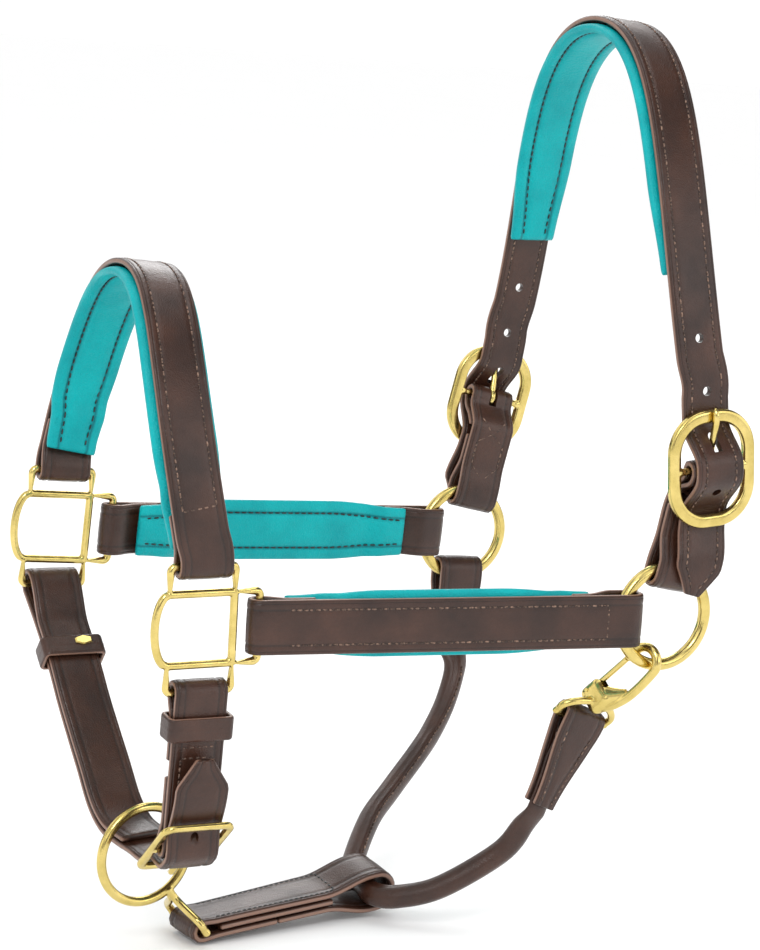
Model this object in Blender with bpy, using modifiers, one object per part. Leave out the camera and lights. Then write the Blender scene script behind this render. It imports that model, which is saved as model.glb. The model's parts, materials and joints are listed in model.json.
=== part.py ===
"""A horse's leather headcollar, built from separate straps, paddings and brass fittings.

X runs from the nose to the poll, Y from the near (left) side to the far side and Z up.
The origin is midway between the two cheek rings.  Every size below is in millimetres.
"""
import math

import bmesh
import bpy
from mathutils import Matrix, Vector

MM = 0.001

for old in list(bpy.data.objects):
    bpy.data.objects.remove(old)

# ---- driving sizes ---------------------------------------------------------------------
STRAP = 25.4              # a one inch strap
LEATHER = 3.2             # thickness of one layer
GAP = 0.4                 # free space kept between pieces that touch
LAYER = LEATHER + GAP     # from the middle of one layer to the middle of the next

SIDES = {"near": -1, "far": 1}
RING_Y = 100.0            # the two cheek rings stand this far from the middle plane
RING_RADIUS = 23.5        # centre line of the cheek ring
RING_WIRE = 2.9

SQUARE_AT = {"near": Vector((-226, -74, -3)), "far": Vector((-240, 77, 13))}
SQUARE_WIDE = 31.1        # between the centre lines of the square's prongs
SQUARE_TALL = 32.4
PRONG = 12.4              # how far each strap bar stands off the square
SQUARE_BULGE = 6.5        # the rounded front side
SQUARE_WIRE = 1.9

NOSE_TOP = Vector((-232, 0, 151))
POLL_TOP = Vector((9, 0, 276))
PAD_WIDE = 31.0
PAD_THICK = 5.5

X = Vector((1, 0, 0))
Y = Vector((0, 1, 0))
Z = Vector((0, 0, 1))

# ---- collections and materials -----------------------------------------------------------
parts = bpy.data.collections.new("leather_headcollar")
cutters = bpy.data.collections.new("cutters")
bpy.context.scene.collection.children.link(parts)
bpy.context.scene.collection.children.link(cutters)


def material(name, colour, roughness, metallic):
    made = bpy.data.materials.new(name)
    made.use_nodes = True
    shader = made.node_tree.nodes["Principled BSDF"]
    shader.inputs["Base Color"].default_value = (*colour, 1.0)
    shader.inputs["Roughness"].default_value = roughness
    shader.inputs["Metallic"].default_value = metallic
    made.diffuse_color = (*colour, 1.0)
    return made


BROWN = material("havana_leather", (0.075, 0.038, 0.026), 0.5, 0.0)
TURQUOISE = material("turquoise_leather", (0.003, 0.45, 0.48), 0.55, 0.0)
BRASS = material("polished_brass", (0.75, 0.58, 0.16), 0.22, 1.0)


# ---- small tools ---------------------------------------------------------------------------
def smooth(value):
    """0 to 1 with level ends."""
    value = min(max(value, 0.0), 1.0)
    return value * value * (3 - 2 * value)


def mix(a, b, share):
    return a + (b - a) * share


def keyed(keys, at):
    """A value read between (place, value) keys, level at every key."""
    if at <= keys[0][0]:
        return keys[0][1]
    for (a, first), (b, second) in zip(keys, keys[1:]):
        if at <= b:
            return mix(first, second, smooth((at - a) / (b - a)))
    return keys[-1][1]


def rounded(points, step):
    """Points every step along a smooth curve through the given ones."""
    ends = [points[0] * 2 - points[1]] + list(points) + [points[-1] * 2 - points[-2]]
    curve = [points[0].copy()]
    for before, start, end, after in zip(ends, ends[1:], ends[2:], ends[3:]):
        parts_here = max(2, round((end - start).length / step))
        for i in range(1, parts_here + 1):
            t = i / parts_here
            curve.append(0.5 * ((2 * start) + (end - before) * t
                                + (2 * before - 5 * start + 4 * end - after) * t * t
                                + (3 * start - before - 3 * end + after) * t ** 3))
    return curve


def link(obj, made_of, group=None):
    (group or parts).objects.link(obj)
    if made_of:
        obj.data.materials.append(made_of)
    return obj


def from_bmesh(name, bm, made_of, group=None):
    bmesh.ops.recalc_face_normals(bm, faces=bm.faces)
    mesh = bpy.data.meshes.new(name)
    bm.to_mesh(mesh)
    bm.free()
    mesh.shade_smooth()
    return link(bpy.data.objects.new(name, mesh), made_of, group)


def helper(obj):
    """Keeps a cutter or a joined-on shape out of the render."""
    obj.hide_render = True
    obj.display_type = "WIRE"
    return obj


def pivot(obj, place):
    """Puts a moving piece's origin on its joint's axis.  The piece itself stays where it is."""
    obj.data.transform(Matrix.Translation(-place * MM))
    obj.location = place * MM
    return obj


def boolean(target, tool, kind):
    step = target.modifiers.new(kind.lower(), "BOOLEAN")
    step.operation = kind
    step.solver = "EXACT"
    step.object = helper(tool)


def tangents(points, closed=False):
    count = len(points)
    found = []
    for i in range(count):
        before = points[i - 1] if closed or i else points[i]
        after = points[(i + 1) % count] if closed or i < count - 1 else points[i]
        found.append((after - before).normalized())
    return found


def square_to(direction, along):
    return (direction - along * direction.dot(along)).normalized()


def ribbon(name, points, across, widths, thick, made_of, closed=False, edge=0.7):
    """A flat strap: an open strip along the points, thickened, with rounded edges."""
    count = len(points)
    across = across if isinstance(across, list) else [across] * count
    widths = widths if isinstance(widths, list) else [widths] * count
    bm = bmesh.new()
    runs = tangents(points, closed)
    half = [square_to(a, t) * w / 2 for a, t, w in zip(across, runs, widths)]
    row = [bm.verts.new((p - h) * MM) for p, h in zip(points, half)]
    edges = [bm.edges.new((a, b)) for a, b in zip(row, row[1:])]
    if closed:
        edges.append(bm.edges.new((row[-1], row[0])))
    bm.verts.index_update()
    strip = bmesh.ops.extrude_edge_only(bm, edges=edges)
    bm.verts.ensure_lookup_table()
    far_row = [v for v in strip["geom"] if isinstance(v, bmesh.types.BMVert)]
    for vert in far_row:
        partner = next(e.other_vert(vert) for e in vert.link_edges if e.other_vert(vert) in row)
        i = row.index(partner)
        vert.co = (points[i] + half[i]) * MM
    obj = from_bmesh(name, bm, made_of)
    solid = obj.modifiers.new("thickness", "SOLIDIFY")
    solid.thickness = thick * MM
    solid.offset = 0
    solid.use_even_offset = True
    solid.use_quality_normals = True
    soften = obj.modifiers.new("edges", "BEVEL")
    soften.width = edge * MM
    soften.segments = 1
    soften.limit_method = "ANGLE"
    soften.angle_limit = math.radians(50)
    soften.harden_normals = True
    return obj


def tube(name, points, radius, made_of, closed=False, sides=3, group=None):
    """A round wire along the points, as a mesh that Booleans can use."""
    curve = bpy.data.curves.new(name, "CURVE")
    curve.dimensions = "3D"
    curve.bevel_depth = radius * MM
    curve.bevel_resolution = sides
    curve.use_fill_caps = not closed
    line = curve.splines.new("POLY")
    line.points.add(len(points) - 1)
    for knot, point in zip(line.points, points):
        knot.co = (*(point * MM), 1)
    line.use_cyclic_u = closed
    wire = bpy.data.objects.new(name + "_wire", curve)
    bpy.context.scene.collection.objects.link(wire)
    depsgraph = bpy.context.evaluated_depsgraph_get()
    mesh = bpy.data.meshes.new_from_object(wire.evaluated_get(depsgraph))
    bpy.data.objects.remove(wire)
    bm = bmesh.new()
    bm.from_mesh(mesh)
    bpy.data.meshes.remove(mesh)
    bmesh.ops.remove_doubles(bm, verts=bm.verts, dist=0.00001)
    return from_bmesh(name, bm, made_of, group)


def basis(origin, first, second, third):
    """The matrix that takes local x, y, z to three directions at a place, in metres."""
    turn = Matrix((first, second, third)).transposed().to_4x4()
    return Matrix.Translation(origin * MM) @ turn


def cylinder(name, start, end, radius, made_of=None, group=None, segments=24):
    along = (end - start).normalized()
    side = square_to(X if abs(along.x) < 0.8 else Y, along)
    bm = bmesh.new()
    bmesh.ops.create_cone(bm, cap_ends=True, segments=segments, radius1=radius * MM,
                          radius2=radius * MM, depth=(end - start).length * MM)
    bmesh.ops.transform(bm, matrix=basis((start + end) / 2, side, along.cross(side), along),
                        verts=bm.verts)
    return from_bmesh(name, bm, made_of, group)


def block(name, centre, axes, size, made_of=None, group=None):
    bm = bmesh.new()
    bmesh.ops.create_cube(bm, size=1)
    bmesh.ops.scale(bm, vec=size * MM, verts=bm.verts)
    bmesh.ops.transform(bm, matrix=basis(centre, *axes), verts=bm.verts)
    return from_bmesh(name, bm, made_of, group)


def punch(target, centre, along, across, through, length, width, name):
    """A slot with round ends through a strap.  A length equal to the width is a round hole."""
    bm = bmesh.new()
    turns = 7
    half = (length - width) / 2
    outline = []
    for end, start in ((half, -math.pi / 2), (-half, math.pi / 2)):
        for i in range(turns + 1):
            angle = start + math.pi * i / turns
            outline.append((end + width / 2 * math.cos(angle), width / 2 * math.sin(angle)))
    verts = [bm.verts.new((centre + along * x + across * y - through * 6) * MM) for x, y in outline]
    bmesh.ops.remove_doubles(bm, verts=verts, dist=0.00001)
    face = bm.faces.new(bm.verts)
    top = bmesh.ops.extrude_face_region(bm, geom=[face])
    moved = [v for v in top["geom"] if isinstance(v, bmesh.types.BMVert)]
    bmesh.ops.translate(bm, vec=through * 12 * MM, verts=moved)
    boolean(target, from_bmesh(name, bm, None, cutters), "DIFFERENCE")


def point_end(target, tip, back, across, through, width, name):
    """Cuts the two corners off a strap's end, so that it ends in a point."""
    for side in (-1, 1):
        cut_line = (back * 13 + across * side * (width / 2 - 4)).normalized()
        outside = square_to(across * side, cut_line)
        centre = tip + across * side * 4 + outside * 10 + cut_line * 6
        block_name = f"{name}_{'left' if side < 0 else 'right'}"
        cutter = block(block_name, centre, (cut_line, outside, cut_line.cross(outside)),
                       Vector((40, 20, 12)), None, cutters)
        boolean(target, cutter, "DIFFERENCE")


# ---- folded straps ---------------------------------------------------------------------------
def fold_back(points, inward, at_start, radius, stretch, lap, depth=LAYER, rise=13, clear=1.0):
    """The strip's way from the end of a run round a bar and back along the run.

    The bar's centre is radius away from the run's end, on the inward side.  stretch carries the
    fold past the bar, for a bar that curves.  The lap closes up to depth from the run.
    """
    if not at_start:
        points = points[::-1]
        inward = inward[::-1]
    away = (points[0] - points[1]).normalized()
    normal = square_to(inward[0], away)
    centre = points[0] + normal * radius
    way = []
    steps = 8
    for i in range(0 if stretch else 1, steps + 1):
        angle = math.pi * i / steps
        way.append(centre + away * (stretch + radius * math.sin(angle))
                   - normal * radius * math.cos(angle))
    travelled = 0.0
    for a, b, n in zip(points, points[1:], inward[1:]):
        travelled += (b - a).length
        if travelled > lap:
            break
        if travelled < clear:
            continue
        side = square_to(n, (b - a).normalized())
        share = smooth((travelled - clear) / rise)
        way.append(b + side * mix(2 * radius, depth, share))
    return way


def straight(start, end, step=4.0):
    count = max(2, round((end - start).length / step))
    return [mix(start, end, i / count) for i in range(count + 1)]


def offset_run(points, inward, distances):
    """The points moved towards the inside by each distance."""
    runs = tangents(points)
    return [p + square_to(n, t) * d for p, n, t, d in zip(points, inward, runs, distances)]


def distances(points):
    travelled = [0.0]
    for a, b in zip(points, points[1:]):
        travelled.append(travelled[-1] + (b - a).length)
    return travelled


def cut_out(values, travelled, first, last):
    """The values between two distances along a run, with the two ends themselves."""
    def at(place):
        i = next(i for i, s in enumerate(travelled) if s >= place)
        share = (place - travelled[i - 1]) / (travelled[i] - travelled[i - 1])
        return mix(values[i - 1], values[i], share)

    inner = [v for v, s in zip(values, travelled) if first + 0.8 < s < last - 0.8]
    return [at(first)] + inner + [at(last)]


# ---- halter squares -------------------------------------------------------------------------
def square_axes(side):
    """The square's own long and tall directions: it is tipped in line with its cheek strap."""
    tip = math.atan2(-SQUARE_AT[side].z, -SQUARE_AT[side].x)
    return Vector((math.cos(tip), 0, math.sin(tip))), Vector((-math.sin(tip), 0, math.cos(tip)))


def square_bar(side, where):
    long, tall = square_axes(side)
    offset = {"top": tall * (SQUARE_TALL / 2 + PRONG),
              "bottom": -tall * (SQUARE_TALL / 2 + PRONG),
              "rear": long * (SQUARE_WIDE / 2 + PRONG)}[where]
    return SQUARE_AT[side] + offset


def halter_square(side):
    long, tall = square_axes(side)
    centre = SQUARE_AT[side]
    w, h = SQUARE_WIDE / 2, SQUARE_TALL / 2

    def at(x, z):
        return centre + long * x + tall * z

    def corner(x, z, sx, sz, radius=2.5):
        """A rounded corner, walked from the side that is level to the upright one."""
        turns = 3
        return [at(x - sx * radius * (1 - math.sin(math.pi / 2 * i / turns)),
                   z - sz * radius * (1 - math.cos(math.pi / 2 * i / turns)))
                for i in range(turns + 1)]

    bulge = [at(-w - SQUARE_BULGE * math.cos(a), h * math.sin(a))
             for a in (math.radians(d) for d in range(70, -71, -14))]
    ring = corner(w, h, 1, 1) + corner(w, -h, 1, -1)[::-1] + [at(-w, -h)] + bulge[::-1] + [at(-w, h)]
    body = tube(f"{side}_halter_square", ring, SQUARE_WIRE, BRASS, closed=True)
    top = [at(-w, h)] + corner(-w, h + PRONG, -1, 1)[::-1] + corner(w, h + PRONG, 1, 1) + [at(w, h)]
    low = [at(-w, -h)] + corner(-w, -h - PRONG, -1, -1)[::-1] + corner(w, -h - PRONG, 1, -1) + [at(w, -h)]
    rear = [at(w, h)] + corner(w + PRONG, h, 1, 1) + corner(w + PRONG, -h, 1, -1)[::-1] + [at(w, -h)]
    for name, line in (("top", top), ("low", low), ("rear", rear)):
        loop = tube(f"{side}_square_{name}_bar", line, SQUARE_WIRE * 0.97, None, group=cutters)
        boolean(body, loop, "UNION")
    return body


# ---- cheek rings ---------------------------------------------------------------------------------
def ring_centre(side):
    return Vector((0, SIDES[side] * RING_Y, 0))


def torus(name, centre, axis, radius, wire, made_of, group=None, turns=40, sides=3):
    first = square_to(X, axis)
    second = axis.cross(first)
    points = [centre + (first * math.cos(a) + second * math.sin(a)) * radius
              for a in (2 * math.pi * i / turns for i in range(turns))]
    return tube(name, points, wire, made_of, closed=True, sides=sides, group=group)


def cheek_ring(side):
    return torus(f"{side}_cheek_ring", ring_centre(side), Y, RING_RADIUS, RING_WIRE, BRASS)


RING_SAG = RING_RADIUS - math.sqrt(RING_RADIUS ** 2 - (STRAP / 2) ** 2)
BAR_FOLD = SQUARE_WIRE + 0.7 + LEATHER / 2
RING_FOLD = RING_WIRE + 0.8 + LEATHER / 2
LAP = 27.0


# ---- cheek straps ----------------------------------------------------------------------------------
def cheek_run(side):
    """The outer layer, from over the square's rear bar to over the cheek ring."""
    out = Y * SIDES[side]
    bar = square_bar(side, "rear")
    ring = ring_centre(side)
    wire = ring + square_to(bar - ring, Y) * RING_RADIUS
    along = (wire - bar).normalized()
    normal = square_to(out, along)
    return straight(bar + normal * BAR_FOLD, wire + normal * RING_FOLD), -normal, along


def cheek_strap(side):
    run, inward, along = cheek_run(side)
    _, tall = square_axes(side)
    inwards = [inward] * len(run)
    first = fold_back(run, inwards, True, BAR_FOLD, 0, LAP)
    last = fold_back(run, inwards, False, RING_FOLD, RING_SAG, LAP, rise=15, clear=3.5)
    return ribbon(f"{side}_cheek_strap", first[::-1] + run + last, square_to(tall, along),
                  STRAP, LEATHER, BROWN)


def pad_on(name, run, inwards, across, first, last, laps=True, wide=PAD_WIDE):
    """A padding along the inside of a run.  It rises over the laps of folded ends."""
    travelled = distances(run)
    total = travelled[-1]
    last += total
    middle = LEATHER / 2 + GAP + PAD_THICK / 2
    depths = []
    widths = []
    for s in cut_out(travelled, travelled, first, last):
        near_end = min(s, total - s)
        over_lap = 1 - smooth((near_end - LAP - 1) / 12) if laps else 0
        over_fold = 1 - smooth((near_end - 9) / 9) if laps else 0
        depths.append(middle + over_lap * LAYER + over_fold * 1.4)
        widths.append(mix(STRAP, wide, smooth(min(s - first, last - s) / 45)))
    inner_run = cut_out(run, travelled, first, last)
    points = offset_run(inner_run, cut_out(inwards, travelled, first, last), depths)
    lines = cut_out(across, travelled, first, last) if isinstance(across, list) else across
    return ribbon(name, points, lines, widths, PAD_THICK, TURQUOISE, edge=1.8)


def cheek_padding(side):
    run, inward, along = cheek_run(side)
    _, tall = square_axes(side)
    pad_on(f"{side}_cheek_padding", run, [inward] * len(run), square_to(tall, along), 13, -16)


# ---- arches: noseband and crown -----------------------------------------------------------------
def arch(feet, top, lean, count=24):
    """Points over the head, on two quarter ellipses, with the strap's width direction.

    The two middle points stand level on both sides of the top, so that a flat face lies there.
    lean holds, for each side, how far the arch bows along X and the width direction's slope.
    """
    points = []
    widths = []
    for i in range(-count, count + 1):
        if i == 0:
            continue
        side = "near" if i < 0 else "far"
        foot = feet[side]
        bow, slope = lean[side]
        share = (abs(i) - 0.5) / (count - 0.5)
        angle = share * math.pi / 2
        height = math.cos(angle)
        y = foot.y * math.sin(angle)
        x = mix(foot.x, top.x, smooth(height)) + bow * 4 * height * (1 - height) * smooth(height / 0.12)
        points.append(Vector((x, y, mix(foot.z, top.z, height))))
        tip = mix(lean["top"], slope, share)
        widths.append(Vector((math.cos(tip), 0, math.sin(tip))))
    return points, widths


def finer_ends(values, count=5):
    """The same values, with one more between each of the first and last few."""
    made = []
    for i, (a, b) in enumerate(zip(values, values[1:])):
        made.append(a)
        if min(i, len(values) - 2 - i) < count:
            made.append(mix(a, b, 0.5))
    return made + [values[-1]]


def nose_run():
    feet = {s: square_bar(s, "top") + Y * SIDES[s] * BAR_FOLD for s in SIDES}
    tips = {s: math.atan2(square_axes(s)[0].z, square_axes(s)[0].x) for s in SIDES}
    lean = {"near": (-7, tips["near"]), "far": (3.5, tips["far"]), "top": -0.08}
    points, across = (finer_ends(values) for values in arch(feet, NOSE_TOP, lean))
    inwards = [Vector((0, -p.y / 80, -max(0.0, (p.z - 30)) / 90)) for p in points]
    return points, across, inwards


def noseband():
    run, across, inwards = nose_run()
    first = fold_back(run, inwards, True, BAR_FOLD, 0, LAP)
    last = fold_back(run, inwards, False, BAR_FOLD, 0, LAP)
    lines = [across[0]] * len(first) + across + [across[-1]] * len(last)
    ribbon("noseband_strap", first[::-1] + run + last, lines, STRAP, LEATHER, BROWN)
    pad_on("noseband_padding", run, inwards, across, 11, -11)


# ---- buckles --------------------------------------------------------------------------------------
class Buckle:
    """A centre-bar buckle.  s runs from the bar towards the tongue's tip, d out of the leather."""

    def __init__(self, name, bar_at, along, out, half_long, half_wide, wire, bar, corner):
        self.name = name
        self.at = bar_at
        self.along = along
        self.out = square_to(out, along)
        self.across = self.along.cross(self.out)
        self.half_long = half_long
        self.half_wide = half_wide
        self.wire = wire
        self.bar = bar
        self.corner = corner
        self.fold = bar + GAP + LEATHER / 2
        self.over = self.fold + LAYER + 0.3
        self.behind = -(wire * 0.72 + GAP + LEATHER / 2)
        self.slope = half_long - 3.5

    def place(self, s, d, a=0.0):
        return self.at + self.along * s + self.out * d + self.across * a

    def strap_depth(self, s):
        """The strap goes behind both end bars and over the centre bar."""
        level = 2.5
        share = min(max(abs(s) - level, 0) / (self.slope - level), 1)
        return mix(self.over, self.behind, (1 - math.cos(math.pi * share)) / 2)

    def frame(self):
        turns = 5
        line = []
        for s_side, a_side, start in ((1, 1, 0), (1, -1, 90), (-1, -1, 180), (-1, 1, 270)):
            for i in range(turns + 1):
                angle = math.radians(start + 90 * i / turns)
                s = s_side * (self.half_long - self.corner) + self.corner * math.sin(angle)
                a = a_side * (self.half_wide - self.corner) + self.corner * math.cos(angle)
                line.append((s, a))
        points = [Vector((a, s, 0)) for s, a in line]
        body = tube(f"{self.name}_buckle", points, self.wire, BRASS, closed=True, sides=4)
        flatten = Matrix.Diagonal((1, 1, 0.72, 1))
        turn = basis(self.at, self.across, self.along, self.out)
        body.data.transform(turn @ flatten)
        if turn.to_3x3().determinant() < 0:
            body.data.flip_normals()
        reach = self.half_wide
        bar = cylinder(f"{self.name}_bar", self.place(0, 0, -reach), self.place(0, 0, reach),
                       self.bar, None, cutters)
        boolean(body, bar, "UNION")
        return body

    def tongue(self):
        loop = self.bar + 0.35 + 1.6
        line = [self.place(loop * math.cos(a), loop * math.sin(a))
                for a in (math.radians(50 + 28 * i) for i in range(11))]
        top = self.wire * 0.72 + 0.35 + 1.6
        reach = self.half_long
        for s, d in ((5.6, -1.2), (8.5, -0.4), (12, 0.6), (reach * 0.66, 1.9), (reach - 3.6, top - 0.5),
                     (reach, top), (reach + 2.6, top - 0.3), (reach + 4.2, top - 1.4)):
            line.append(self.place(s, d))
        return pivot(tube(f"{self.name}_buckle_tongue", line, 1.6, BRASS, sides=2), self.at)


CHAPE_LEAN = {"near": math.radians(10.4), "far": math.radians(12.5)}
BUCKLE_LEAN = {"near": math.radians(-6), "far": math.radians(12.5)}
STRAP_TURN = {"near": (math.tan(math.radians(2)), math.tan(math.radians(6.6))),
              "far": (math.tan(math.radians(5)), math.tan(math.radians(2)))}
TAIL_BOW = {"near": 5.0, "far": 0.0}   # how far the free end bends off towards the nose
BUCKLE_RADIUS = 74.0      # from the ring's centre to the crown buckle's centre bar
BUCKLE_OUT = 9.6          # the buckle stands this far outside the ring
HOLE_PITCH = 25.4
TONGUE_HOLE = 12.0        # from the centre bar to the hole that the tongue goes through
HOLE_ALONG = 14.5         # the same, measured along the strap as it rises over the bar
TIP_REACH = 60.0          # from the centre bar down to the strap's point


def leaning(angle):
    return Vector((math.sin(angle), 0, math.cos(angle)))


def crown_buckle(side):
    bar = ring_centre(side) + leaning(CHAPE_LEAN[side]) * BUCKLE_RADIUS + Y * SIDES[side] * BUCKLE_OUT
    return Buckle(f"{side}_crown", bar, leaning(BUCKLE_LEAN[side]), Y * SIDES[side],
                  25.0, 20.4, 3.1, 1.7, 17.0)


def crown_chape(side):
    """Round the centre bar and the cheek ring, with both ends in the front layer."""
    buckle = crown_buckle(side)
    out = Y * SIDES[side]
    up = leaning(CHAPE_LEAN[side])
    reach = BUCKLE_RADIUS - RING_RADIUS
    fold = RING_WIRE + 0.6 + LEATHER / 2
    level = -12.6
    keys = [(2.5, -buckle.fold), (16, level), (reach - 16, level), (reach, -BUCKLE_OUT - fold)]
    count = 26
    run = []
    for s in (reach * i / count for i in range(count + 1)):
        down = mix(buckle.along, up, smooth(s / 24))
        run.append(buckle.at - down * s + out * keyed(keys, s))
    front = [out] * len(run)
    top = fold_back(run, front, True, buckle.fold, 0, 18, rise=8)
    foot = fold_back(run, front, False, fold, RING_SAG, reach - 21, rise=13, clear=3.5)
    path = top[::-1] + run + foot
    lines = [out.cross(d) for d in tangents(run)]
    widths = [lines[min(range(len(run)), key=lambda i: (run[i] - p).length)] for p in path]
    chape = ribbon(f"{side}_crown_chape", path, widths, STRAP, LEATHER, BROWN)
    punch(chape, buckle.place(2, 0), buckle.along, buckle.across, buckle.out, 17, 4.4,
          f"{side}_crown_chape_slot")
    return chape


def strap_through(side, s):
    """The crown strap's middle at a place along its buckle: it turns a little at the centre bar."""
    buckle = crown_buckle(side)
    above, below = STRAP_TURN[side]
    drift = -(math.hypot(s, 8) - 8) * (above if s > 0 else below)
    drift -= TAIL_BOW[side] * (max(0.0, -s - 22) / (TIP_REACH - 22)) ** 2
    tip_keys = [(-TIP_REACH, -0.2), (-45, -0.2), (-27, buckle.behind), (-buckle.slope, buckle.behind)]
    depth = buckle.strap_depth(s) if s > -buckle.slope else keyed(tip_keys, s)
    return buckle.place(s, depth) + square_to(X, buckle.along) * drift


def crown_run():
    """The crown strap's middle line, from its near tip to its far tip, with its width direction."""
    top_place = 33
    count = 27
    places = [mix(-TIP_REACH, top_place, i / count) for i in range(count)]
    near = [strap_through("near", s) for s in places]
    far = [strap_through("far", s) for s in reversed(places)]
    feet = {s: strap_through(s, top_place) for s in SIDES}
    lean = {"near": (-11, 0.1), "far": (9.5, -0.12), "top": -0.078}
    points, across = arch(feet, POLL_TOP, lean, count=20)
    level = {s: square_to(X, crown_buckle(s).along) for s in SIDES}
    lines = [level["near"]] * len(near) + across + [level["far"]] * len(far)
    return near + points + far, lines


def crown_hole(side, run, index):
    """A hole's middle on the crown strap, counted from the one that the tongue is in."""
    line = run if side == "near" else run[::-1]
    travelled = distances(line)
    bar = min(range(len(line)), key=lambda i: (line[i] - crown_buckle(side).place(0, 7)).length)
    return cut_out(line, travelled, travelled[bar] + HOLE_ALONG + index * HOLE_PITCH, travelled[-1])[0]


def crown():
    run, across = crown_run()
    inwards = [Vector((0, -p.y / 104, -max(0.0, p.z - 100) / 180)) for p in run]
    strap = ribbon("crown_strap", run, across, STRAP, LEATHER, BROWN)
    tip = TIP_REACH + 102
    pad_on("crown_padding", run, inwards, across, tip, -tip + 4, laps=False)
    for side in SIDES:
        buckle = crown_buckle(side)
        punch(strap, buckle.place(TONGUE_HOLE, 0.5), buckle.along, buckle.across, buckle.out, 10.5, 4.4,
              f"{side}_crown_tongue_hole")
        for index in (-1, 1, 2):
            name = f"{side}_crown_hole_{index + 2}"
            punch(strap, crown_hole(side, run, index), Z, X, Y, 4.6, 4.5, name)
        line = run if side == "near" else run[::-1]
        back = (line[1] - line[0]).normalized()
        point_end(strap, line[0], back, square_to(X, back), buckle.out, STRAP, f"{side}_crown_point")


# ---- chin strap -----------------------------------------------------------------------------------
CHIN_BUCKLE_SLOPE = math.radians(41.5)
CHIN_LOOP = 6.0           # the strap hangs loose on the far square's bottom bar


def chin_x(y):
    return mix(square_bar("near", "bottom").x, square_bar("far", "bottom").x, smooth((y + 45) / 90))


def chin_point(y, z):
    return Vector((chin_x(y), y, z))


def chin_buckle():
    along = Vector((0, math.cos(CHIN_BUCKLE_SLOPE), -math.sin(CHIN_BUCKLE_SLOPE)))
    out = Vector((0, -math.sin(CHIN_BUCKLE_SLOPE), -math.cos(CHIN_BUCKLE_SLOPE)))
    return Buckle("chin", chin_point(-70, -104.5), along, out, 20.0, 15.6, 2.0, 1.6, 4.0)


def chin_run():
    """The outer layer, from over the far square's bottom bar to the free tip on the near side."""
    buckle = chin_buckle()
    outward = Vector((0, 0.63, -0.77)).normalized()
    start = square_bar("far", "bottom") + outward * CHIN_LOOP
    hanging = [chin_point(y, z) for y, z in ((64, -31), (50, -41), (38, -51.5), (29, -63), (19, -76.5),
                                             (10, -89.5), (0, -105), (-10, -113.5), (-22, -116.3),
                                             (-34, -117))]
    entry = [buckle.place(24, buckle.behind - 1.0), buckle.place(buckle.slope, buckle.behind - 0.2)]
    lower = rounded([start] + hanging + entry, 5)
    through = [buckle.place(s, buckle.strap_depth(s))
               for s in (buckle.slope - 2.2 * i for i in range(1, 15))]
    tip = rounded([buckle.place(-buckle.slope, buckle.behind), chin_point(-84.6, -78),
                   chin_point(-86.6, -59.5)], 5)
    return lower + through + tip


def chin():
    run = chin_run()
    buckle = chin_buckle()
    inwards = [(Vector((0, -40, -20)) - Vector((0, p.y, p.z))).normalized() for p in run]
    fold = fold_back(run, inwards, True, CHIN_LOOP, 0, 152, rise=26)
    strap = ribbon("chin_strap", fold[::-1] + run, X, STRAP, LEATHER, BROWN)
    punch(strap, buckle.place(TONGUE_HOLE - 1.5, 1.2), buckle.along, buckle.across, buckle.out, 9.5, 4.4,
          "chin_tongue_hole")
    punch(strap, buckle.place(-12.0, 1.2), buckle.along, buckle.across, buckle.out, 4.0, 3.9,
          "chin_spare_hole")
    back = (run[-2] - run[-1]).normalized()
    point_end(strap, run[-1], back, X, square_to(Y, back), STRAP, "chin_point")


def chin_chape_run():
    buckle = chin_buckle()
    start = square_bar("near", "bottom") - Y * BAR_FOLD
    end = buckle.at - Y * buckle.fold
    return straight(start, end)


def chin_chape():
    buckle = chin_buckle()
    run = chin_chape_run()
    inward = [Y] * len(run)
    half = (run[-1] - run[0]).length / 2
    top = fold_back(run, inward, True, BAR_FOLD, 0, half - 3)
    foot = fold_back(run, inward, False, buckle.fold, 0, half - 1)
    chape = ribbon("chin_chape", top[::-1] + run + foot, X, STRAP, LEATHER, BROWN)
    punch(chape, buckle.place(2, 0), buckle.along, buckle.across, buckle.out, 17, 4.4, "chin_chape_slot")


def keeper(name, centre, along, across, wide, tall, thick, length):
    """A loop of leather round a doubled strap."""
    out = along.cross(across)
    corner = 2.0
    line = []
    for sx, sz, start in ((1, 1, 0), (-1, 1, 90), (-1, -1, 180), (1, -1, 270)):
        for i in range(4):
            angle = math.radians(start + 30 * i)
            line.append(centre + across * (sx * (wide / 2 - corner) + corner * math.cos(angle))
                        + out * (sz * (tall / 2 - corner) + corner * math.sin(angle)))
    return ribbon(name, line, along, length, thick, BROWN, closed=True, edge=0.5)


KEEPER_LEATHER = 2.4
KEEPER_WIDE = STRAP + 1.4 + KEEPER_LEATHER
KEEPER_LONG = 11


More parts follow.
